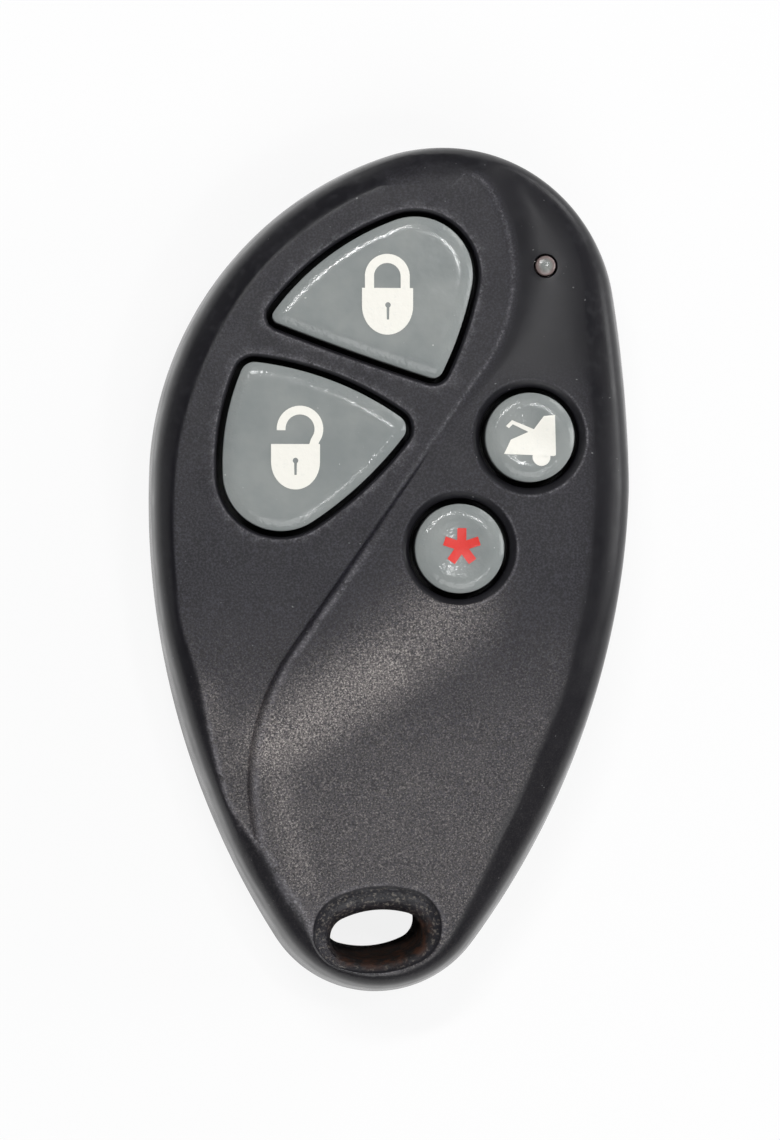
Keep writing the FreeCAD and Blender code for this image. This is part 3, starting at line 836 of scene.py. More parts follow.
def worn_and_lit_edge_mask(x, y, depth, gap):
    """Pale edges, partly rubbed and partly painted highlight: the S line, the lips of the openings,
    the recess and the left crease.
    """
    side, inner = step_side(x, y), smooth(depth, 1.2, 2.0)
    worn_and_lit_edge = 0.6 * peak(side, -0.5, 0.22) * smooth(-y, -6.0, 3.0) * smooth(y, -28.0, -25.0) * inner
    worn_and_lit_edge = np.maximum(worn_and_lit_edge, 0.4 * peak(side, 0.32, 0.14) * smooth(y, 2.0, 9.0) * inner)
    for arcs in key_arcs.values():
        lip = 0.62 if len(arcs) == 1 else 0.3
        lip_edge = peak(-inside_by(arcs, x, y), key_gap + lip, 0.07)
        # Round the dishes the painted highlight is strongest towards the lower right.
        if len(arcs) == 1:
            about = np.arctan2(y - arcs[0][1], x - arcs[0][0])
            lip_edge = lip_edge * (0.25 + 0.75 * smooth(np.cos(about + 0.45), -0.1, 0.8))
        worn_and_lit_edge = np.maximum(worn_and_lit_edge, 0.6 * lip_edge)
    recess_edge = peak(inside_by(eye_arcs(1.05), x, y), 0, 0.22) * (y > eye_place[1])
    left_crease = peak(gap, 0.1, 0.1) * smooth(-y, 6.0, 16.0) * smooth(-x, -2.0, 2.0)
    return np.maximum(worn_and_lit_edge, 0.8 * np.maximum(recess_edge, left_crease))


def case_masks(mesh):
    """Where the case is grained, rubbed pale with painted sheen and highlights, polished and stained.
    """
    x, y, z = mesh_points(mesh).T
    depth = inside_by(case_arcs, x, y)
    on_face = z > face_height(x, y, np.maximum(depth, 0)) - 0.05
    gap = shoulder_height(x, y, np.maximum(depth, 0)) - panel_height(x, y)
    panel = smooth(gap, -0.02, 0.12) * on_face
    in_eye = smooth(inside_by(eye_arcs(1.0), x, y), -0.1, 0.25)
    low_side = smooth(-(y - eye_place[1]) + 0.45 * (x - eye_place[0]), -1.0, 1.6)
    deep = smooth(inside_by(eye_arcs(0.4), x, y), -0.45, 0.25)
    bare = smooth(-step_side(x, y), -0.2, 0.5) * smooth(y, 12.0, 17.0)
    skin = (1 - panel) * (1 - in_eye)
    masks = {
        "grain": panel * (1 - in_eye) * (1 - bare) * (1 - 0.25 * smooth(y, -2.0, 14.0)),
        # worn grain, which also paints the sheen of light on the lower face
        "rub_and_sheen": rub_and_sheen_mask(x, y) * (0.12 + 0.88 * panel) * on_face,
        # pale edges, partly rubbed and partly painted highlight
        "worn_and_lit_edge": worn_and_lit_edge_mask(x, y, depth, gap) * on_face,
        "eye": in_eye,
        "rust": deep * (0.08 + 0.92 * low_side),
        "skin": skin,
        "polish": skin * smooth(-z, -9.6, -8.6),
        "streak": skin * smooth(z, 8.0, 9.5) * (0.3 + 0.7 * smooth(y, 5, 20)),
    }
    for name, values in masks.items():
        store(mesh, name, values)
    print("points rubbed, rusty", (masks["rub_and_sheen"] > 0.5).sum(), (masks["rust"] > 0.5).sum())


case_masks(front_mesh)
case_masks(rear_mesh)

# %% [markdown]
# ## How a finish is built
# Every finish here is one Principled shader. Its colour is a base with layers over it; a layer is
# a colour that shows in lumps of a real size in millimetres, held to a mask where the mesh carries
# one. Roughness and bump come from lumps too, so no surface is one flat colour or one even gloss.

# %% Lumps, layers and finishes


def lumps(tree, size_mm, low, high, share=1.0, mask=None, detail=3.0, stretch=(1, 1, 1)):
    """Noise with lumps of a real size, from 0 at low to the share at high, held to a mask."""
    spot = add(tree, "ShaderNodeTexCoord", out="Object")
    spot = add(tree, "ShaderNodeMapping", {"Vector": spot, "Scale": stretch})
    value = add(tree, "ShaderNodeTexNoise", {"Vector": spot, "Scale": 1 / (size_mm * MM),
                                             "Detail": detail, "Roughness": 0.6})
    value = add(tree, "ShaderNodeMapRange", {"Value": value, "From Min": low, "From Max": high,
                                             "To Max": share})
    if mask:
        held = add(tree, "ShaderNodeAttribute", out="Fac", attribute_name=mask)
        value = add(tree, "ShaderNodeMath", {0: value, 1: held}, operation="MULTIPLY")
    return value


def total(tree, values):
    """Sum of several outputs."""
    value = 0.0
    for more in values:
        value = add(tree, "ShaderNodeMath", {0: value, 1: more}, operation="ADD")
    return value


def finish(name, base, layers=(), rough=((1.5, 0.3, 0.7, 0.1),), rough_base=0.4, bumps=(),
           bump_mm=0.03, stretch=(1, 1, 1), **constants):
    """A finish: layers are lump settings and a colour, rough and bumps are lump settings alone."""
    material = bpy.data.materials.new(name)
    material.use_nodes = True
    tree = material.node_tree
    shader = tree.nodes["Principled BSDF"]
    colour = hex_colour(base)
    for *settings, over in layers:
        colour = add(tree, "ShaderNodeMix", {0: lumps(tree, *settings, stretch=stretch), 6: colour,
                                             7: hex_colour(over)}, out=2, data_type="RGBA")
    tree.links.new(colour, shader.inputs["Base Color"])
    roughness = total(tree, [rough_base] + [lumps(tree, *r, stretch=stretch) for r in rough])
    tree.links.new(roughness, shader.inputs["Roughness"])
    height = total(tree, [lumps(tree, *b, stretch=stretch) for b in bumps])
    bump = add(tree, "ShaderNodeBump", {"Strength": 1.0, "Distance": bump_mm * MM,
                                        "Height": height})
    tree.links.new(bump, shader.inputs["Normal"])
    for socket, value in constants.items():
        shader.inputs[socket.replace("_", " ")].default_value = value
    return material


# %% [markdown]
# ## Moulded black ABS on the covers
# To the eye this is a near-black with a trace of violet, under a dull grain about 0.15 mm across on
# the panels and a smoother shoulder. Rubbed places are grey-brown speckles on the tops of the grain,
# which also paint the sheen of light there; pale lines on the edges are partly rubbed and partly
# painted highlight.
# The ring has left bright flecks in the recess and rust in the hole. The lowest part of the side is
# polished and gives a pale rim.

# %% The ABS finish
all_over = (1.0, 0.0, 0.01)  # lumps that leave no gap, for a share held to a mask alone
abs_black = finish(
    "moulded black ABS, worn", "#111015",
    layers=[(6.0, 0.3, 0.7, 0.2, None, 4.0, "#26252B"),
            (0.16, 0.42, 0.7, 0.4, "grain", 2.0, "#4B4955"),
            # pale speckles of worn grain, which also paint a sheen of light
            (3.2, 0.3, 0.7, 0.35, "rub_and_sheen", 3.0, "#5C5856"),
            (0.14, 0.4, 0.68, 0.75, "rub_and_sheen", 3.0, "#9A9390"),
            (0.13, 0.58, 0.64, 0.55, "rub_and_sheen", 1.0, "#C8C1BA"),
            # pale edge lines, partly rubbing and partly painted highlight
            (0.9, 0.35, 0.65, 0.6, "worn_and_lit_edge", 4.0, "#77757A"),
            (0.2, 0.5, 0.66, 0.6, "worn_and_lit_edge", 3.0, "#98969B"),
            (0.8, 0.5, 0.7, 0.12, "streak", 1.0, "#4A4A4D"),
            (0.35, 0.775, 0.82, 0.5, None, 1.0, "#8C8C8C"),
            (1.6, 0.2, 0.8, 0.6, "eye", 4.0, "#3E3D42"),
            (0.25, 0.54, 0.64, 0.45, "eye", 4.0, "#8A8379"),
            (2.0, 0.0, 0.4, 0.8, "rust", 4.0, "#120C09"),
            (0.8, 0.42, 0.62, 0.75, "rust", 4.0, "#4E2E1B")],
    rough=[(2.5, 0.3, 0.7, 0.1, None, 4.0), (*all_over, 0.16, "grain"), (*all_over, -0.08, "rub_and_sheen"),
           (*all_over, -0.06, "skin"), (*all_over, -0.1, "polish"), (*all_over, 0.3, "rust")],
    rough_base=0.36,
    bumps=[(0.22, 0.0, 1.0, 0.6, "grain", 2.0), (0.22, 0.0, 1.0, 0.1, None, 2.0),
           (0.7, 0.0, 1.0, 2.0, "eye", 3.0)],
    bump_mm=0.05, IOR=1.5, Specular_IOR_Level=0.42)

for name, mesh in (("front_cover", front_mesh), ("rear_cover", rear_mesh)):
    piece(name + "_moulding", mesh, "case", abs_black, [name])

# %% [markdown]
# ## Silicone keys
# The keys are one moulding of grey silicone rubber with its mat. A key's top is almost flat, with a
# wide soft edge that catches the light in a wobbly line; the two small round ones are dished. The
# height of a key's top is again a function of the distance to its outline.

# %% Key shapes
key_top, key_wall_top = 13.9, 12.2
mat_low, nub_low = 10.1, 9.15
nub_r, nub_bevel = 1.5, 0.15
edge_width, edge_drop = 1.25, 0.38
corner_width, corner_drop = 0.1, 0.05
dish = 0.3


def key_height(name, x, y):
    """Height of a key's top at a point."""
    arcs = key_arcs[name]
    inset = np.clip(inside_by(arcs, x, y), 0, None)
    t = np.clip(1 - inset / edge_width, 0, 1)
    height = key_top - edge_drop * t ** 2
    if len(arcs) == 1:
        cx, cy, r = arcs[0][:3]
        height = height - dish * smooth(r - np.hypot(x - cx, y - cy), 0.5, r)
    return height


def key_centre(name):
    """Middle of a key's area, where its switch stands."""
    xy = ring(key_arcs[name], 0, 400)
    after = np.roll(xy, -1, axis=0)
    cross = xy[:, 0] * after[:, 1] - after[:, 0] * xy[:, 1]
    return tuple(((xy + after) * cross[:, None]).sum(0) / (3 * cross.sum()))


def key_mesh(name):
    """A key's body from the mat up to its soft top, with the nub that meets the switch."""
    arcs = key_arcs[name]
    round_key = len(arcs) == 1
    count = 110 if round_key else 200
    shell = Shell()
    foot = shell.loop(ring(arcs, 0, count), mat_low)
    wall = shell.loop(ring(arcs, 0, count), key_wall_top)
    loops = [foot, wall]
    for inset in (0.0, 0.015, 0.05, 0.1, 0.16, 0.24, 0.33, 0.42):
        xy = ring(arcs, -inset, count)
        corner = corner_drop * max(1 - inset / corner_width, 0) ** 2
        loops.append(shell.loop(xy, key_height(name, *xy.T) - corner))
    shell.bridge(loops)
    low, high = ring(arcs, 0, 60).min(0), ring(arcs, 0, 60).max(0)
    grid = hex_grid(0.2, low, high)
    grid = grid[inside_by(arcs, *grid.T) > 0.52]
    shell.fill(loops[-1], [], grid, lambda x, y: key_height(name, x, y))
    nub_arcs = outline_arcs([(*key_centre(name), nub_r)])
    nub = [shell.loop(ring(nub_arcs, grow, 48), z)
           for grow, z in ((0, mat_low), (0, nub_low + nub_bevel), (-nub_bevel, nub_low))]
    shell.bridge(nub, flip=True)
    shell.faces.append(nub[-1][::-1])
    shell.fill(foot, nub[:1], down=True)
    return shell.mesh(name + "_key_rubber")


# %% [markdown]
# ## Grey silicone rubber
# Silicone is a little translucent, so light softens in it, and its skin is slightly uneven: along
# the rounded edge of a key that breaks a highlight into short white flecks. Low on the walls of the
# keys, down in the gap, and all over the mat and webs, a near-black is laid on that is partly grime
# and partly painted shade.

# %% The silicone finish
rubber = finish(
    "moulded grey silicone rubber", "#868B8A",
    layers=[(4.0, 0.35, 0.65, 1.0, None, 3.0, "#919593"),
            (0.3, 0.78, 0.82, 0.6, None, 1.0, "#D8DAD6"),
            # near-black of grime and painted shade, low in the gap and over the mat and webs
            (1.0, 0.0, 0.3, 0.9, "grime_and_shade", 3.0, "#1B1B1B")],
    rough=[(1.5, 0.3, 0.7, 0.1, None, 4.0), (*all_over, 0.3, "grime_and_shade")], rough_base=0.1,
    bumps=[(0.9, 0.0, 1.0, 0.25, None, 2.0), (0.36, 0.0, 1.0, 0.8, "rim", 1.6)],
    bump_mm=0.06, IOR=1.42, Subsurface_Weight=0.12, Subsurface_Radius=(0.6, 0.6, 0.55),
    Subsurface_Scale=0.5 * MM)


def rubber_masks(mesh, arcs=None, undarkened_above=0.0):
    """Where rubber bends over at a key's edge and where grime and painted shade darken it; all dark
    with no outline.
    """
    x, y, z = mesh_points(mesh).T
    store(mesh, "grime_and_shade", smooth(-z, -undarkened_above, 0.35 - undarkened_above) if arcs else np.ones(len(z)))
    inset = inside_by(arcs, x, y) if arcs else np.full(len(z), 9.0)
    rim = peak(inset, 0.5, 0.4)
    if arcs and len(arcs) == 1:
        rim = np.maximum(rim, 0.6 * smooth(inset, 0.7, 1.3))
    store(mesh, "rim", rim)


# Below this height a key's wall takes the near-black of grime and painted shade.
grime_and_shade_top = 13.2
for name, arcs in key_arcs.items():
    key = key_mesh(name)
    rubber_masks(key, arcs, grime_and_shade_top)
    piece(name + "_key_rubber", key, name + "_key", rubber, [name + "_key"],
          crease=50.0)

# %% [markdown]
# ## Printed signs
# The signs are pad printed: a soft pad presses a film of ink on the rubber. Each sign here is a
# thin film that follows the key's top, drawn from straight and round edges in millimetres: a closed
# padlock, an open one, a car with its boot open, and a red star for the alarm.

# %% Sign outlines


def arc_points(cx, cy, r, start, end, count=24):
    """Points of an arc between two angles in degrees."""
    angles = np.radians(np.linspace(start, end, count))
    return [(cx + r * math.cos(a), cy + r * math.sin(a)) for a in angles]


def padlock_body(left, right_side, top, straight):
    """Flat top, straight sides and a round bottom, drawn down a little."""
    drawn_down = 1.12
    middle, r = (left + right_side) / 2, (right_side - left) / 2
    bottom = [(x, straight + (y - straight) * drawn_down)
              for x, y in arc_points(middle, straight, r, 180, 360)]
    return [(right_side, top), (left, top), (left, straight)] + bottom


def keyhole(x, y, r, foot):
    """Round eye with a narrow slot."""
    half = 0.085
    return arc_points(x, y, r, -60, 240) + [(x - half, foot), (x + half, foot)]


def thick_line(points, width):
    """A bent bar of even width with square ends."""
    points = [np.array(p, float) for p in points]
    left, right_side = [], []
    for i, p in enumerate(points):
        before = p - points[i - 1] if i else points[1] - p
        after = points[i + 1] - p if i + 1 < len(points) else before
        way = before / np.linalg.norm(before) + after / np.linalg.norm(after)
        way /= np.linalg.norm(way)
        stretch = width / 2 / max(abs(way @ before) / np.linalg.norm(before), 0.3)
        normal = np.array([-way[1], way[0]]) * stretch
        left.append(tuple(p + normal))
        right_side.append(tuple(p - normal))
    return left + right_side[::-1]


closed_shackle = thick_line([(-2.11, 20.9), (-2.11, 22.15)]
                            + arc_points(-0.76, 22.2, 1.36, 176, 4, 20)
                            + [(0.6, 22.15), (0.6, 20.9)], 0.69)
open_shackle = thick_line(arc_points(-7.38, 10.61, 1.43, 184, -22, 26)
                          + [(-6.25, 9.72), (-6.42, 9.2)], 0.66)
star_x, star_y = 4.93, 1.72
star_arms = []
for tip in (90, 18, 162, 234, 306):
    far = arc_points(star_x, star_y, 1.4, tip, tip, 1)[0]
    star_arms.append(thick_line([(star_x, star_y), far], 0.69))

signs = {
    "closed_padlock_sign": ("lock", [padlock_body(-2.68, 1.20, 21.32, 19.95), closed_shackle],
                            [keyhole(-0.71, 20.03, 0.21, 18.93)]),
    "open_padlock_sign": ("unlock", [padlock_body(-9.57, -5.87, 9.47, 8.1), open_shackle],
                          [keyhole(-7.72, 8.22, 0.21, 7.13)]),
    "open_boot_sign": ("trunk", [
        [(12.04, 11.74), (11.19, 11.66), (10.42, 10.62), (9.97, 10.43), (8.67, 9.86), (8.36, 9.21),
         (8.13, 8.76), (10.27, 8.69), (11.96, 8.61), (12.11, 8.69)],
        arc_points(11.01, 8.54, 0.68, 0, 345, 24),
        [(10.55, 10.62), (8.75, 11.34), (8.29, 10.89), (8.52, 10.73), (8.82, 11.02),
         (10.1, 10.42)]], []),
    "alarm_star_sign": ("star", star_arms, []),
}


def in_loop(xy, loop):
    """True for points inside a closed loop."""
    x, y = xy[:, :1], xy[:, 1:]
    a, b = np.array(loop), np.roll(np.array(loop), -1, axis=0)
    crosses = (a[:, 1] > y) != (b[:, 1] > y)
    drop = np.where(b[:, 1] == a[:, 1], 1, b[:, 1] - a[:, 1])
    at = a[:, 0] + (y - a[:, 1]) * (b[:, 0] - a[:, 0]) / drop
    return (crosses & (x < at)).sum(1) % 2 == 1


def sign_mesh(name, key, loops, holes):
    """Ink film over the key's top: its face, its underside and its edge."""
    film, sunk = 0.03, 0.03
    points, edges = [], []
    for loop in loops + holes:
        first = len(points)
        points += [Vector(p) for p in loop]
        edges += [(first + i, first + (i + 1) % len(loop)) for i in range(len(loop))]
    flat = np.array([p[:] for p in points])
    points += [Vector(p) for p in hex_grid(0.22, flat.min(0), flat.max(0))]
    found = delaunay_2d_cdt(points, edges, [], 0, 1e-6)
    xy = np.array([p[:] for p in found[0]])
    triangles = np.array(found[2])
    middles = xy[triangles].mean(1)
    inked = np.zeros(len(triangles), bool)
    for loop in loops:
        inked |= in_loop(middles, loop)
    for hole in holes:
        inked &= ~in_loop(middles, hole)
    triangles = triangles[inked]
    used, numbers = np.unique(triangles, return_inverse=True)
    triangles = numbers.reshape(-1, 3)
    xy = xy[used]
    shell = Shell()
    height = key_height(key, *xy.T)
    shell.loop(xy, height + film)
    shell.loop(xy, height - sunk)
    count = len(xy)
    sides = {(t[i], t[(i + 1) % 3]) for t in triangles.tolist() for i in range(3)}
    shell.faces += triangles.tolist() + [[i + count for i in t[::-1]] for t in triangles.tolist()]
    shell.faces += [(b, a, a + count, b + count) for a, b in sides if (b, a) not in sides]
    return shell.mesh(name)


# %% Pad-printed ink
# The ink is thin in places, so that the rubber shows through.
thin_ink = (0.35, 0.58, 0.75, 0.35, None, 4.0)
ink_skin = {"rough": [(1.5, 0.3, 0.7, 0.1)], "rough_base": 0.36, "bumps": [(0.6, 0.0, 1.0)]}
white_ink = finish("pad-printed white ink", "#ECEAE1", [(*thin_ink, "#D5D8D2")], **ink_skin)
red_ink = finish("pad-printed red ink", "#D92F27", [(*thin_ink, "#B5443C")], **ink_skin)
for name, (key, loops, holes) in signs.items():
    piece(name, sign_mesh(name, key, loops, holes), key + "_key",
          red_ink if key == "star" else white_ink)

# %% [markdown]
# ## Status light
# A clear acrylic rod leads the lamp's light from the board to the face. Its end is slightly domed
# and has gone cloudy; a flange under the ceiling keeps it from falling out. It is round, so it is
# turned from a profile of radii and heights.

# %% Light pipe
pipe_low, pipe_high = node_box("light_pipe")
foot_bevel, flange_r, flange_bevel = 0.08, 1.4, 0.05
dome_low, dome_height = pipe_high[2] - 0.12, 0.2
pipe_profile = [(light_r - foot_bevel, pipe_low[2]), (light_r, pipe_low[2] + foot_bevel),
                (light_r, mat_low), (flange_r - flange_bevel, mat_low),
                (flange_r, mat_low + flange_bevel), (flange_r, ceiling - flange_bevel),
                (flange_r - flange_bevel, ceiling), (light_r, ceiling)]
pipe_profile += [(light_r * math.cos(a), dome_low + dome_height * math.sin(a))
                 for a in np.radians(np.linspace(0, 87, 12))]
pipe_mesh = turned(pipe_profile, light_place, name="light_pipe_rod")
x, y, z = mesh_points(pipe_mesh).T
store(pipe_mesh, "rim", smooth(np.hypot(x - light_place[0], y - light_place[1]), 0.3, 0.72))

# Handling has clouded the clear plastic, and at its rim a painted pinkish brown stands in for the dark
# case seen in it.
clouded_acrylic = finish(
    "clouded clear acrylic", "#7E8380",
    layers=[(0.4, 0.3, 0.7, 1.0, None, 3.0, "#9C9E99"),
            (0.4, 0.0, 0.1, 0.9, "rim", 1.0, "#8E7A77")],
    rough=[(0.6, 0.3, 0.7, 0.1)], rough_base=0.17, bumps=[(0.3, 0.0, 1.0, 1.0, None, 2.0)],
    bump_mm=0.02, IOR=1.49, Transmission_Weight=0.25)
piece("light_pipe_rod", pipe_mesh, "case", clouded_acrylic, ["light_pipe"])

# %% [markdown]
# ## Rubber mat and webs
# The keys hang in a mat that the cover's ceiling and posts hold. Round each key a thin web, shaped
# as a flat cone, joins it to the mat; in the real remote it is the part that bends when the key goes
# down. The mat is cut from a slab with Booleans. Each web here is a fixed ring that rides on no body.

# %% Mat and webs
mat_end = node_box("keypad_mat")[0][1]
mat_gap, hole_gap, web_width, web_thick, web_rise = 0.4, 0.15, 0.6, 0.12, 0.47
mat_outline = above_line(ring(case_arcs, -(case_wall + mat_gap), 240), mat_end)
mat_slab = prism(mat_outline, mat_low, ceiling)
through = (mat_low - 1, ceiling + 1)
mat_holes = [prism(ring(arcs, web_width, 150), *through) for arcs in key_arcs.values()]
mat_holes += [cylinder(place, boss_r + mat_gap, *through) for place in bosses]
mat_holes += [cylinder(place, post_r + hole_gap, *through, 32) for place in posts]
mat_holes.append(cylinder(light_place, flange_r + hole_gap, *through, 48))
mat_mesh = combine(mat_slab, [("DIFFERENCE", hole) for hole in mat_holes])
# The mat lies in shade under the keys, so it is darkened all over with grime and painted shade.
rubber_masks(mat_mesh)
piece("keypad_mat_rubber", mat_mesh, "case", rubber, ["keypad_mat"])

web_top, web_foot = mat_low + web_rise, mat_low + web_thick
rows = [(web_width, 1.0), (0.52, 0.9), (0.4, 0.68), (0.28, 0.4), (0.16, 0.14), (0.02, 0.0)]
upper = [(grow, web_foot + (web_top - web_foot) * rise) for grow, rise in rows]
lower = [(grow, z - web_thick) for grow, z in upper[::-1]]
for name, arcs in key_arcs.items():
    shell = Shell()
    count = 90 if len(arcs) == 1 else 160
    loops = [shell.loop(ring(arcs, grow, count), z) for grow, z in upper + lower]
    shell.bridge(loops + loops[:1])
    web = shell.mesh(name + "_web_rubber")
    # Like the mat, each web is darkened all over with grime and painted shade.
    rubber_masks(web)
    web = piece(name + "_web_rubber", web, None, rubber, [name + "_key_web"],
                crease=60.0)
    x, y = (v * MM for v in key_centre(name))
    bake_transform(web)

# %% [markdown]
# ## Metals and moulded parts inside
# The board and its parts are seen only with the covers off, and still each gets what it is made of:
# tinned and nickel-plated sheet with fine rolling lines, drawn coarser than they are so that they
# show, matt moulding compound, fired ceramic, green solder mask over copper tracks. CAD shapes that
# are right as they are get the finish alone.

# %% Finishes by the record's slots
rolled = (0.12, 1.0, 1.0)  # rolling lines run along x
metal_sheen = {"Metallic": 1.0, "bump_mm": 0.006}
finishes = {
    "case_plastic": abs_black,
    "key_rubber": rubber,
    "clear_acrylic": clouded_acrylic,
    # Bright bluish grey with duller clouds and a few brown spots.
    "zinc_plated_steel": finish(
        "zinc-plated steel, bright passivated", "#B9BABD",
        [(1.2, 0.35, 0.7, 0.8, None, 4.0, "#94979C"), (0.5, 0.62, 0.7, 0.4, None, 2.0, "#7D6F5E")],
        rough_base=0.28, bumps=[(0.25, 0.0, 1.0)], **metal_sheen),
    # Whitish metal with faint grey lines along the rolling.
    "tinned_steel": finish(
        "tin-plated steel sheet, reflowed", "#C3C4C2",
        [(0.5, 0.35, 0.65, 0.8, None, 3.0, "#A3A5A4")],
        rough_base=0.3, bumps=[(0.2, 0.0, 1.0)], stretch=rolled, **metal_sheen),
    # Warm grey metal, reddish where the tin is thin.
    "tinned_copper": finish(
        "copper track with a tin skin", "#C9C3B4",
        [(0.6, 0.45, 0.7, 0.6, None, 3.0, "#B08A63")],
        rough_base=0.34, bumps=[(0.3, 0.0, 1.0)], **metal_sheen),
    # Pale gold with darker lines, smoother than the tin.
    "gold_plated_lid": finish(
        "gold flash over nickel, seam-welded lid", "#D9B56A",
        [(0.9, 0.35, 0.7, 0.7, None, 3.0, "#BE9850")],
        rough_base=0.22, bumps=[(0.3, 0.0, 1.0)], stretch=rolled, **metal_sheen),
    # Warm grey nickel with lines from drawing and a few dull stains.
    "cell_steel": finish(
        "nickel-plated steel can, drawn", "#B4B3AE",
        [(0.5, 0.35, 0.65, 0.7, None, 3.0, "#9A9994"), (2.5, 0.6, 0.72, 0.4, None, 4.0, "#8B857A")],
        rough_base=0.27, bumps=[(0.15, 0.0, 1.0)], stretch=rolled, **metal_sheen),
    # Cool grey sheet with faint lines.
    "spring_steel": finish(
        "stainless spring steel, cold rolled", "#A9ABAD",
        [(0.4, 0.35, 0.65, 0.7, None, 3.0, "#8F9295")],
        rough_base=0.25, bumps=[(0.12, 0.0, 1.0)], stretch=rolled, **metal_sheen),
    # Near-black with paler specks, where the glass comes to the surface.
    "switch_plastic": finish(
        "glass-filled nylon, moulded black", "#242426",
        [(0.3, 0.5, 0.7, 0.7, None, 3.0, "#39393C")],
        rough_base=0.5, bumps=[(0.12, 0.0, 1.0)], bump_mm=0.02, IOR=1.53),
    # Ivory and a little translucent, so that its edges look soft.
    "plunger_plastic": finish(
        "acetal, moulded ivory", "#D8D2C2", [(1.0, 0.35, 0.7, 0.7, None, 3.0, "#C6BFAC")],
        rough_base=0.35, bumps=[(0.3, 0.0, 1.0)], bump_mm=0.01, IOR=1.48, Subsurface_Weight=0.1,
        Subsurface_Scale=0.4 * MM),
    # Dull black with a fine grain of paler filler.
    "chip_plastic": finish(
        "epoxy moulding compound, matt", "#202123",
        [(0.1, 0.5, 0.7, 0.8, None, 2.0, "#37383A"), (2.0, 0.4, 0.7, 0.3, None, 2.0, "#2B2B2B")],
        rough_base=0.62, bumps=[(0.08, 0.0, 1.0)], bump_mm=0.015, IOR=1.55),
    # Dull tan with brown specks.
    "ceramic": finish(
        "barium titanate ceramic, fired tan", "#A98C66",
        [(0.15, 0.4, 0.7, 0.7, None, 3.0, "#8E7250")],
        rough_base=0.45, bumps=[(0.1, 0.0, 1.0)], bump_mm=0.01, IOR=1.6),
    # Clear and milky at once, warmer where the base shows through.
    "lamp_resin": finish(
        "lamp epoxy, water clear over white", "#E3DFC9",
        [(0.4, 0.3, 0.7, 0.6, None, 2.0, "#D2B9A0")],
        rough_base=0.15, bumps=[(0.3, 0.0, 1.0)], bump_mm=0.01, IOR=1.52, Transmission_Weight=0.3),
    # Glossy green, darker where the mask is thick, with pale specks of the weave.
    "board_laminate": finish(
        "glass-epoxy laminate with green solder mask", "#1F5A38",
        [(3.0, 0.3, 0.7, 0.6, None, 2.0, "#174A2C"),
         (0.25, 0.55, 0.75, 0.35, None, 2.0, "#3C7A4E")],
        rough_base=0.3, bumps=[(0.35, 0.0, 1.0)], bump_mm=0.01, IOR=1.55),
}

# %% Copper tracks under the solder mask
board_tree = finishes["board_laminate"].node_tree
board_shader = board_tree.nodes["Principled BSDF"]
mask_colour = board_shader.inputs["Base Color"].links[0].from_socket
spot = add(board_tree, "ShaderNodeTexCoord", out="Object")
# The seams of a brick pattern are the tracks; only the two faces of the board carry them.
track_length, track_pitch, track_width = 5.0 * MM, 1.3 * MM, 0.25 * MM
black, white = (0, 0, 0, 1), (1, 1, 1, 1)
track = add(board_tree, "ShaderNodeTexBrick",
            {"Vector": spot, "Color1": black, "Color2": black, "Mortar": white, "Scale": 1.0,
             "Mortar Size": track_width / 2, "Mortar Smooth": 0.1, "Brick Width": track_length,
             "Row Height": track_pitch})
facing = add(board_tree, "ShaderNodeTexCoord", out="Normal")
facing = add(board_tree, "ShaderNodeSeparateXYZ", {"Vector": facing}, out="Z")
facing = add(board_tree, "ShaderNodeMath", {0: facing}, operation="ABSOLUTE")
track_share = add(board_tree, "ShaderNodeMath", {0: track, 1: facing}, operation="MULTIPLY")
track_share = add(board_tree, "ShaderNodeMath", {0: track_share, 1: 0.6}, operation="MULTIPLY")
tracked = add(board_tree, "ShaderNodeMix", {0: track_share, 6: mask_colour,
                                            7: hex_colour("#5E9A52")}, out=2, data_type="RGBA")
board_tree.links.new(tracked, board_shader.inputs["Base Color"])

# %% Finishes on the CAD nodes
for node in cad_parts.values():
    slot_name = node.material_slots[0].material.name
    node.material_slots[0].material = finishes[slot_name]
print("refinished", len(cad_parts), "CAD nodes with", len(finishes), "finishes")


def board_piece(name, mesh, slot_name, replaced=(), crease=38.0):
    """A piece that stays with the case and has its slot's own finish."""
    return piece(name, mesh, "case", finishes[slot_name], replaced, crease)


# %% [markdown]
# ## Snap domes
# Under each plunger a small dished disc of spring steel makes the click: it snaps flat when it is
# pushed. Each is a thin turned shell that rides on the case.

# %% Four snap domes
dome_r, dome_rise, dome_thick, sheet, flat_share = 1.4, 0.4, 0.1, 0.08, 0.375
for name in key_arcs:
    place = key_centre(name)
    foot = node_box(name + "_dome")[0][2]
    shell, outer, inner = Shell(), [], []
    for share in (1.0, 0.95, 0.86, 0.74, 0.6, 0.44, 0.26, 0.08):
        circle = ring(outline_arcs([(*place, dome_r * share)]), 0, 40)
        height = foot + (dome_rise - dome_thick) * (1 - share ** 2)
        outer.append(shell.loop(circle, height + sheet))
        inner.append(shell.loop(circle, height))
    shell.bridge(outer)
    shell.bridge(inner, flip=True)
    shell.bridge([inner[0], outer[0]])
    shell.faces += [outer[-1], inner[-1][::-1]]
    dome = board_piece(name + "_snap_dome", shell.mesh(name + "_snap_dome"), "spring_steel",
                       [name + "_dome"], crease=60.0)
    x, y = (v * MM for v in place)
    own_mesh(dome)

# %% [markdown]
# ## Repeated parts with Geometry Nodes
# Screws, leads and chip parts are one shape set down many times; the chip parts lie a little askew,
# as a machine leaves them. One node tree does it: it takes points that carry a turn, puts the unit
# shape on each, sizes it, and gives it its finish. The result is made a plain mesh.

# %% The tree that sets a shape at points


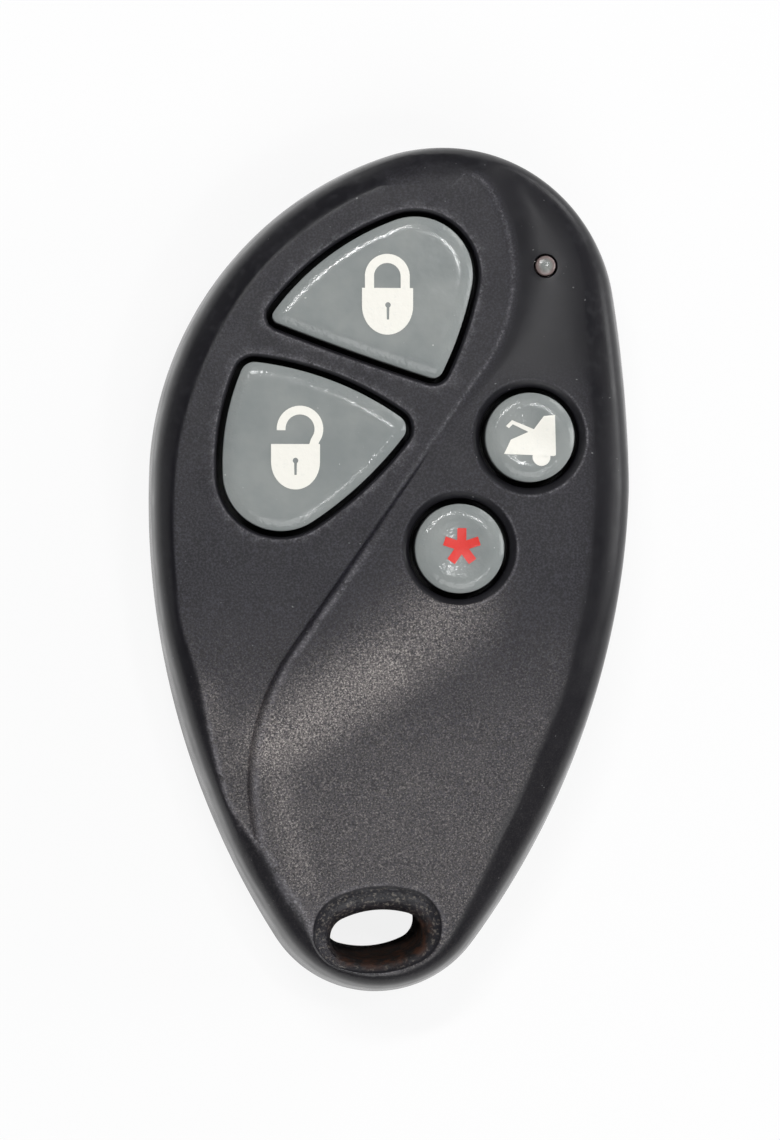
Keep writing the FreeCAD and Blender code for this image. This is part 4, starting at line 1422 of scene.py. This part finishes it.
def repeat_tree():
    """The node tree, with inputs for the shape, its size, how askew it may be and its finish."""
    tree = bpy.data.node_groups.new("set_at_points", "GeometryNodeTree")
    sockets = (("Points", "NodeSocketGeometry"), ("Shape", "NodeSocketObject"),
               ("Length", "NodeSocketFloat"), ("Width", "NodeSocketFloat"),
               ("Height", "NodeSocketFloat"), ("Askew", "NodeSocketFloat"),
               ("Seed", "NodeSocketInt"), ("Finish", "NodeSocketMaterial"))
    for name, kind in sockets:
        tree.interface.new_socket(name, in_out="INPUT", socket_type=kind)
    tree.interface.new_socket("Result", in_out="OUTPUT", socket_type="NodeSocketGeometry")
    given = tree.nodes.new("NodeGroupInput").outputs
    shape = add(tree, "GeometryNodeObjectInfo", {"Object": given["Shape"]}, out="Geometry")
    size = add(tree, "ShaderNodeCombineXYZ", {"X": given["Length"], "Y": given["Width"],
                                              "Z": given["Height"]})
    turn = add(tree, "GeometryNodeInputNamedAttribute", {"Name": "turn"}, out="Attribute",
               data_type="FLOAT")
    least = add(tree, "ShaderNodeMath", {0: given["Askew"], 1: -1.0}, operation="MULTIPLY")
    chance = add(tree, "FunctionNodeRandomValue", {2: least, 3: given["Askew"],
                                                   "Seed": given["Seed"]}, out=1)
    turn = add(tree, "ShaderNodeMath", {0: turn, 1: chance}, operation="ADD")
    turn = add(tree, "ShaderNodeCombineXYZ", {"Z": turn})
    copies = add(tree, "GeometryNodeInstanceOnPoints",
                 {"Points": given["Points"], "Instance": shape, "Rotation": turn, "Scale": size})
    copies = add(tree, "GeometryNodeRealizeInstances", {"Geometry": copies})
    copies = add(tree, "GeometryNodeSetMaterial", {"Geometry": copies,
                                                   "Material": given["Finish"]})
    add(tree, "NodeGroupOutput", {"Result": copies})
    return tree


set_at_points = repeat_tree()


def repeated(name, shape, places, turns, size, slot_name, replaced=(), askew=0.0):
    """Sets a unit shape at places in millimetres and makes the result one plain piece."""
    points = bpy.data.meshes.new(name + "_points")
    points.from_pydata([Vector(p) * MM for p in places], [], [])
    store(points, "turn", [math.radians(t) for t in turns])
    holder, unit = linked(name + "_points", points), linked(name + "_unit", shape)
    change = holder.modifiers.new("set_at_points", "NODES")
    change.node_group = set_at_points
    length, width, height = (v * MM for v in size)
    given = {"Shape": unit, "Length": length, "Width": width, "Height": height,
             "Askew": math.radians(askew), "Seed": 11, "Finish": finishes[slot_name]}
    for item in set_at_points.interface.items_tree:
        if item.name in given:
            change[item.identifier] = given[item.name]
    result = evaluated_mesh(holder)
    for obj in (holder, unit):
        bpy.data.objects.remove(obj)
    board_piece(name, result, slot_name, replaced)


# %% Unit shapes, one across, one long and one high


def closed(form, name):
    """Ends the editing of a form and gives it as a mesh."""
    mesh = bpy.data.meshes.new(name)
    form.to_mesh(mesh)
    form.free()
    return mesh


def soft_box(low, high, corner):
    """Box between two corners with rounded edges."""
    form = bmesh.new()
    bmesh.ops.create_cube(form, size=1.0)
    middle = (np.array(low) + np.array(high)) / 2
    size = np.array(high) - np.array(low)
    for v in form.verts:
        v.co = Vector(np.array(v.co) * size + middle)
    bmesh.ops.bevel(form, geom=form.edges[:], offset=corner, segments=2, profile=0.5,
                    affect="EDGES")
    return closed(form, "soft_box")


def joined(meshes):
    """Several meshes as one."""
    form = bmesh.new()
    for mesh in meshes:
        form.from_mesh(mesh)
    return closed(form, "joined")


def gull_wing():
    """A lead that leaves the package level, bends down and ends in a flat foot."""
    path = [(-0.12, 0.92), (0.2, 0.92), (0.34, 0.86), (0.44, 0.7), (0.52, 0.3), (0.6, 0.13),
            (0.74, 0.08), (1.0, 0.08)]
    half_thick = 0.08
    form = bmesh.new()
    rows = []
    for i, (y, z) in enumerate(path):
        before, after = path[max(i - 1, 0)], path[min(i + 1, len(path) - 1)]
        way = Vector((after[0] - before[0], after[1] - before[1])).normalized()
        dy, dz = -way.y * half_thick, way.x * half_thick
        rows.append([form.verts.new((x, y + k * dy, z + k * dz))
                     for x, k in ((-0.5, -1), (0.5, -1), (0.5, 1), (-0.5, 1))])
    for a, b in zip(rows, rows[1:]):
        for i in range(4):
            form.faces.new((a[i], a[(i + 1) % 4], b[(i + 1) % 4], b[i]))
    form.faces.new(rows[0][::-1])
    form.faces.new(rows[-1])
    bmesh.ops.recalc_face_normals(form, faces=form.faces[:])
    return closed(form, "gull_wing")


def pan_screw():
    """Pan head with a tapered cross, and a thread cut as ridges; in millimetres, head down."""
    core_r, crest_r, pitch, ridges = 0.6, 0.8, 0.55, 13
    profile = [(1.0, 0.0), (1.3, 0.05), (1.5, 0.18), (1.6, 0.42), (1.6, 1.14), (1.54, 1.2),
               (0.78, 1.2)]
    for i in range(ridges):
        profile += [(core_r, 1.38 + pitch * i), (crest_r, 1.62 + pitch * i)]
    profile += [(core_r, 8.5), (0.35, 9.1)]
    arm_long, arm_wide, cross = 0.9, 0.22, []
    for a, b in ((arm_long, arm_wide), (arm_wide, arm_long)):
        arm = np.array([(a, b), (-a, b), (-a, -b), (a, -b)])
        cross.append(("DIFFERENCE", stack([(arm * 1.15, -0.1), (arm * 0.8, 0.6)])))
    screw = combine(turned(profile, (0.0, 0.0), 32, "pan_screw"), cross)
    screw.transform(Matrix.Scale(1 / MM, 4))
    return screw


# %% Screws and leads
screw_low = node_box("case_screws")[0][2]
repeated("case_screws_pan_head", pan_screw(), [(*place, screw_low) for place in bosses], [24, -37],
         (1, 1, 1), "zinc_plated_steel", ["case_screws"])

board_end = node_box("circuit_board")[0][1]
chip_x, chip_y = -3.6, board_end + 10.6
lead_pitch, lead_out = 1.27, 1.95
chip_lead_places = [(chip_x + (i - 3) * lead_pitch, chip_y + way * lead_out, board_top)
                    for way in (-1, 1) for i in range(7)]
transistor_x, transistor_y = -0.6, board_end + 3.1
transistor_lead_places = [(transistor_x + dx, transistor_y + way * 0.65, board_top)
                          for dx, way in ((-0.97, -1), (0.97, -1), (0, 1))]
switch_lead_places = [(*(key_centre(name) + np.array([way * 2.25, dy])), board_top)
                      for name in key_arcs for way in (-1, 1) for dy in (-1.5, 1.5)]
for name, places, turns, size in (
        ("encoder", chip_lead_places, [180] * 7 + [0] * 7, (0.4, 1.0, 0.9)),
        ("transistor", transistor_lead_places, [180, 180, 0], (0.4, 0.6, 0.6)),
        ("switch", switch_lead_places, [90, 90, -90, -90] * 4, (0.7, 0.8, 0.5))):
    repeated(name + "_leads_gull_wing", gull_wing(), places, turns, size, "tinned_steel",
             [name + "_leads"])

# %% Chip capacitors and resistors
chip_body = soft_box((-0.47, -0.48, 0.04), (0.47, 0.48, 0.96), 0.04)
chip_ends = joined([soft_box((-0.5, -0.5, 0.0), (-0.3, 0.5, 1.0), 0.05),
                    soft_box((0.3, -0.5, 0.0), (0.5, 0.5, 1.0), 0.05)])
capacitor_places = [(x, board_end + up, board_top)
                    for x, up in ((-3.3, 2.4), (-8.6, 7.1), (2.4, 8.4), (8.0, 7.4))]
control_line = mat_end + 4.5
resistor_places = [(x, board_end + up, board_top)
                   for x, up in ((5.3, 8.4), (-3.4, 6.6), (-0.6, 6.0), (5.3, 9.5))]
resistor_places += [(x, y + control_line, board_top)
                    for x, y in ((7.6, 21.6), (2.4, 8.4), (-4.6, 4.2))]
for name, places, height, body_slot in (("capacitor", capacitor_places, 0.8, "ceramic"),
                                        ("resistor", resistor_places, 0.5, "chip_plastic")):
    chip_size, straight = (1.6, 0.8, height), [0] * len(places)
    repeated(f"chip_{name}_bodies", chip_body, places, straight, chip_size, body_slot,
             [f"chip_{name}s"], askew=2.0)
    repeated(f"chip_{name}_ends", chip_ends, places, straight, chip_size, "tinned_steel",
             askew=2.0)

# %% [markdown]
# ## Small parts of the board
# A packaged part is rarely a plain block: moulding compound has draft on both sides of its parting
# line, a resonator or crystal is a ceramic tub under a seam-welded lid, a chip coil is a drum of
# ceramic wound with enamelled wire, and a chip lamp is a clear lens on a white base with two plated
# ends. Each is built at its CAD node's place from rounded layers, which keeps draft, seams and
# chamfers in one short list of insets and heights.

# %% Forms from rounded layers


nearly_straight = 2000.0


def box_ring(middle, half, corner):
    """Rounded rectangle round a middle, from half sizes."""
    (x, y), (a, b) = middle, (half[0] - corner, half[1] - corner)
    corners = [(x + sx * a, y + sy * b, corner) for sx, sy in ((1, 1), (-1, 1), (-1, -1), (1, -1))]
    return ring(outline_arcs(corners, (nearly_straight,) * 4), 0, 80)


def layered(middle, half, corner, layers):
    """Closed form of rounded rectangles; each layer is an inset and a height."""
    return stack([(box_ring(middle, np.array(half) - inset, corner), z) for inset, z in layers])


def node_place(name):
    """Middle, half size and lowest and highest level of a CAD node."""
    low, high = (np.array(v[:]) for v in node_box(name))
    return (low + high)[:2] / 2, (high - low)[:2] / 2, low[2], high[2]


def pair_of_blocks(middle, half, low, high, inner, corner):
    """Two blocks at the ends of a part, from its inner reach outwards."""
    (x, y), (a, b) = middle, half
    return [soft_box((x + left, y - b, low), (x + right, y + b, high), corner)
            for left, right in ((-a, -inner), (inner, a))]


# %% Packages
for node, name, line in (("encoder_chip", "encoder_package", 0.5),
                         ("radio_transistor", "transistor_package", 0.45)):
    middle, half, low, high = node_place(node)
    seam = low + line * (high - low)
    package = layered(middle, half, 0.12, ((0.15, low), (0.0, seam - 0.08), (0.0, seam + 0.08),
                                           (0.16, high - 0.05), (0.21, high)))
    if node == "encoder_chip":
        dimple = cylinder(middle - half + (1.0, 0.85), 0.35, high - 0.08, high + 1, 24)
        package = combine(package, [("DIFFERENCE", dimple)])
    board_piece(name, package, "chip_plastic", [node], crease=20.0)

# %% Resonator and crystal
for node, name, lid_slot in (("saw_resonator", "resonator", "gold_plated_lid"),
                             ("clock_crystal", "crystal", "tinned_steel")):
    middle, half, low, high = node_place(node)
    rim = low + 0.72 * (high - low)
    tub = layered(middle, half, 0.2, ((0.04, low), (0.0, low + 0.04), (0.0, rim - 0.04),
                                      (0.04, rim)))
    notches = [cylinder(middle + half * (sx, sy * 0.5), 0.18, low - 1, high + 1, 20)
               for sx in (-1, 1) for sy in (-1, 1)]
    tub = combine(tub, [("DIFFERENCE", notch) for notch in notches])
    board_piece(name + "_tub", tub, "ceramic")
    lid = layered(middle, half, 0.35, ((0.3, rim - 0.02), (0.3, rim + 0.1), (0.34, rim + 0.13),
                                       (0.52, rim + 0.15), (0.56, high - 0.03), (0.62, high)))
    board_piece(name + "_lid", lid, lid_slot, [node], crease=25.0)

# %% Coil on its drum
middle, half, low, high = node_place("radio_inductor")
(x, y), flange_in = middle, 0.8
core = pair_of_blocks(middle, half, low, high, flange_in, 0.06)
core.append(soft_box((x - 0.9, y - 0.55, low + 0.35), (x + 0.9, y + 0.55, high - 0.35), 0.08))
core = joined(core)
core.transform(Matrix.Scale(MM, 4))
board_piece("inductor_core", core, "ceramic", ["radio_inductor"], crease=30.0)
wire_r, windings, wound = 0.07, 10, []
for k in range(windings):
    for share in np.linspace(-0.9, 0.9, 5):
        wound.append((0.1 - wire_r * math.sqrt(1 - share ** 2),
                      (k - (windings - 1) / 2 + share / 2) * 2 * wire_r))
coil = layered((0.0, 0.0), (0.5, 0.72), 0.2, wound)
coil.transform(Matrix.Translation(Vector((*middle, (low + high) / 2)) * MM)
               @ Matrix.Rotation(math.pi / 2, 4, "Y"))
# Clear brown-red enamel over copper, so the metal still gleams.
enamelled = finish("enamelled copper wire", "#A4552A",
                   [(0.4, 0.35, 0.65, 0.7, None, 3.0, "#7C3A1C")], rough_base=0.24,
                   bumps=[(0.2, 0.0, 1.0)], bump_mm=0.006, Metallic=0.8)
piece("inductor_coil", coil, "case", enamelled, crease=60.0)

# %% Status lamp
middle, half, low, high = node_place("status_led")
ends = joined(pair_of_blocks(middle, half, low, low + 0.26, half[0] - 0.3, 0.03))
ends.transform(Matrix.Scale(MM, 4))
board_piece("lamp_ends", ends, "tinned_steel", crease=30.0)
base = layered(middle, half - (0.25, 0.02), 0.05, ((0.0, low + 0.02), (0.0, low + 0.24)))
piece("lamp_base", base, "case", finishes["ceramic"], crease=30.0)
lens = layered(middle, half - (0.22, 0.02), 0.12, ((0.0, low + 0.24), (0.02, high - 0.16),
                                                   (0.07, high - 0.06), (0.16, high)))
board_piece("lamp_lens", lens, "lamp_resin", ["status_led"], crease=40.0)
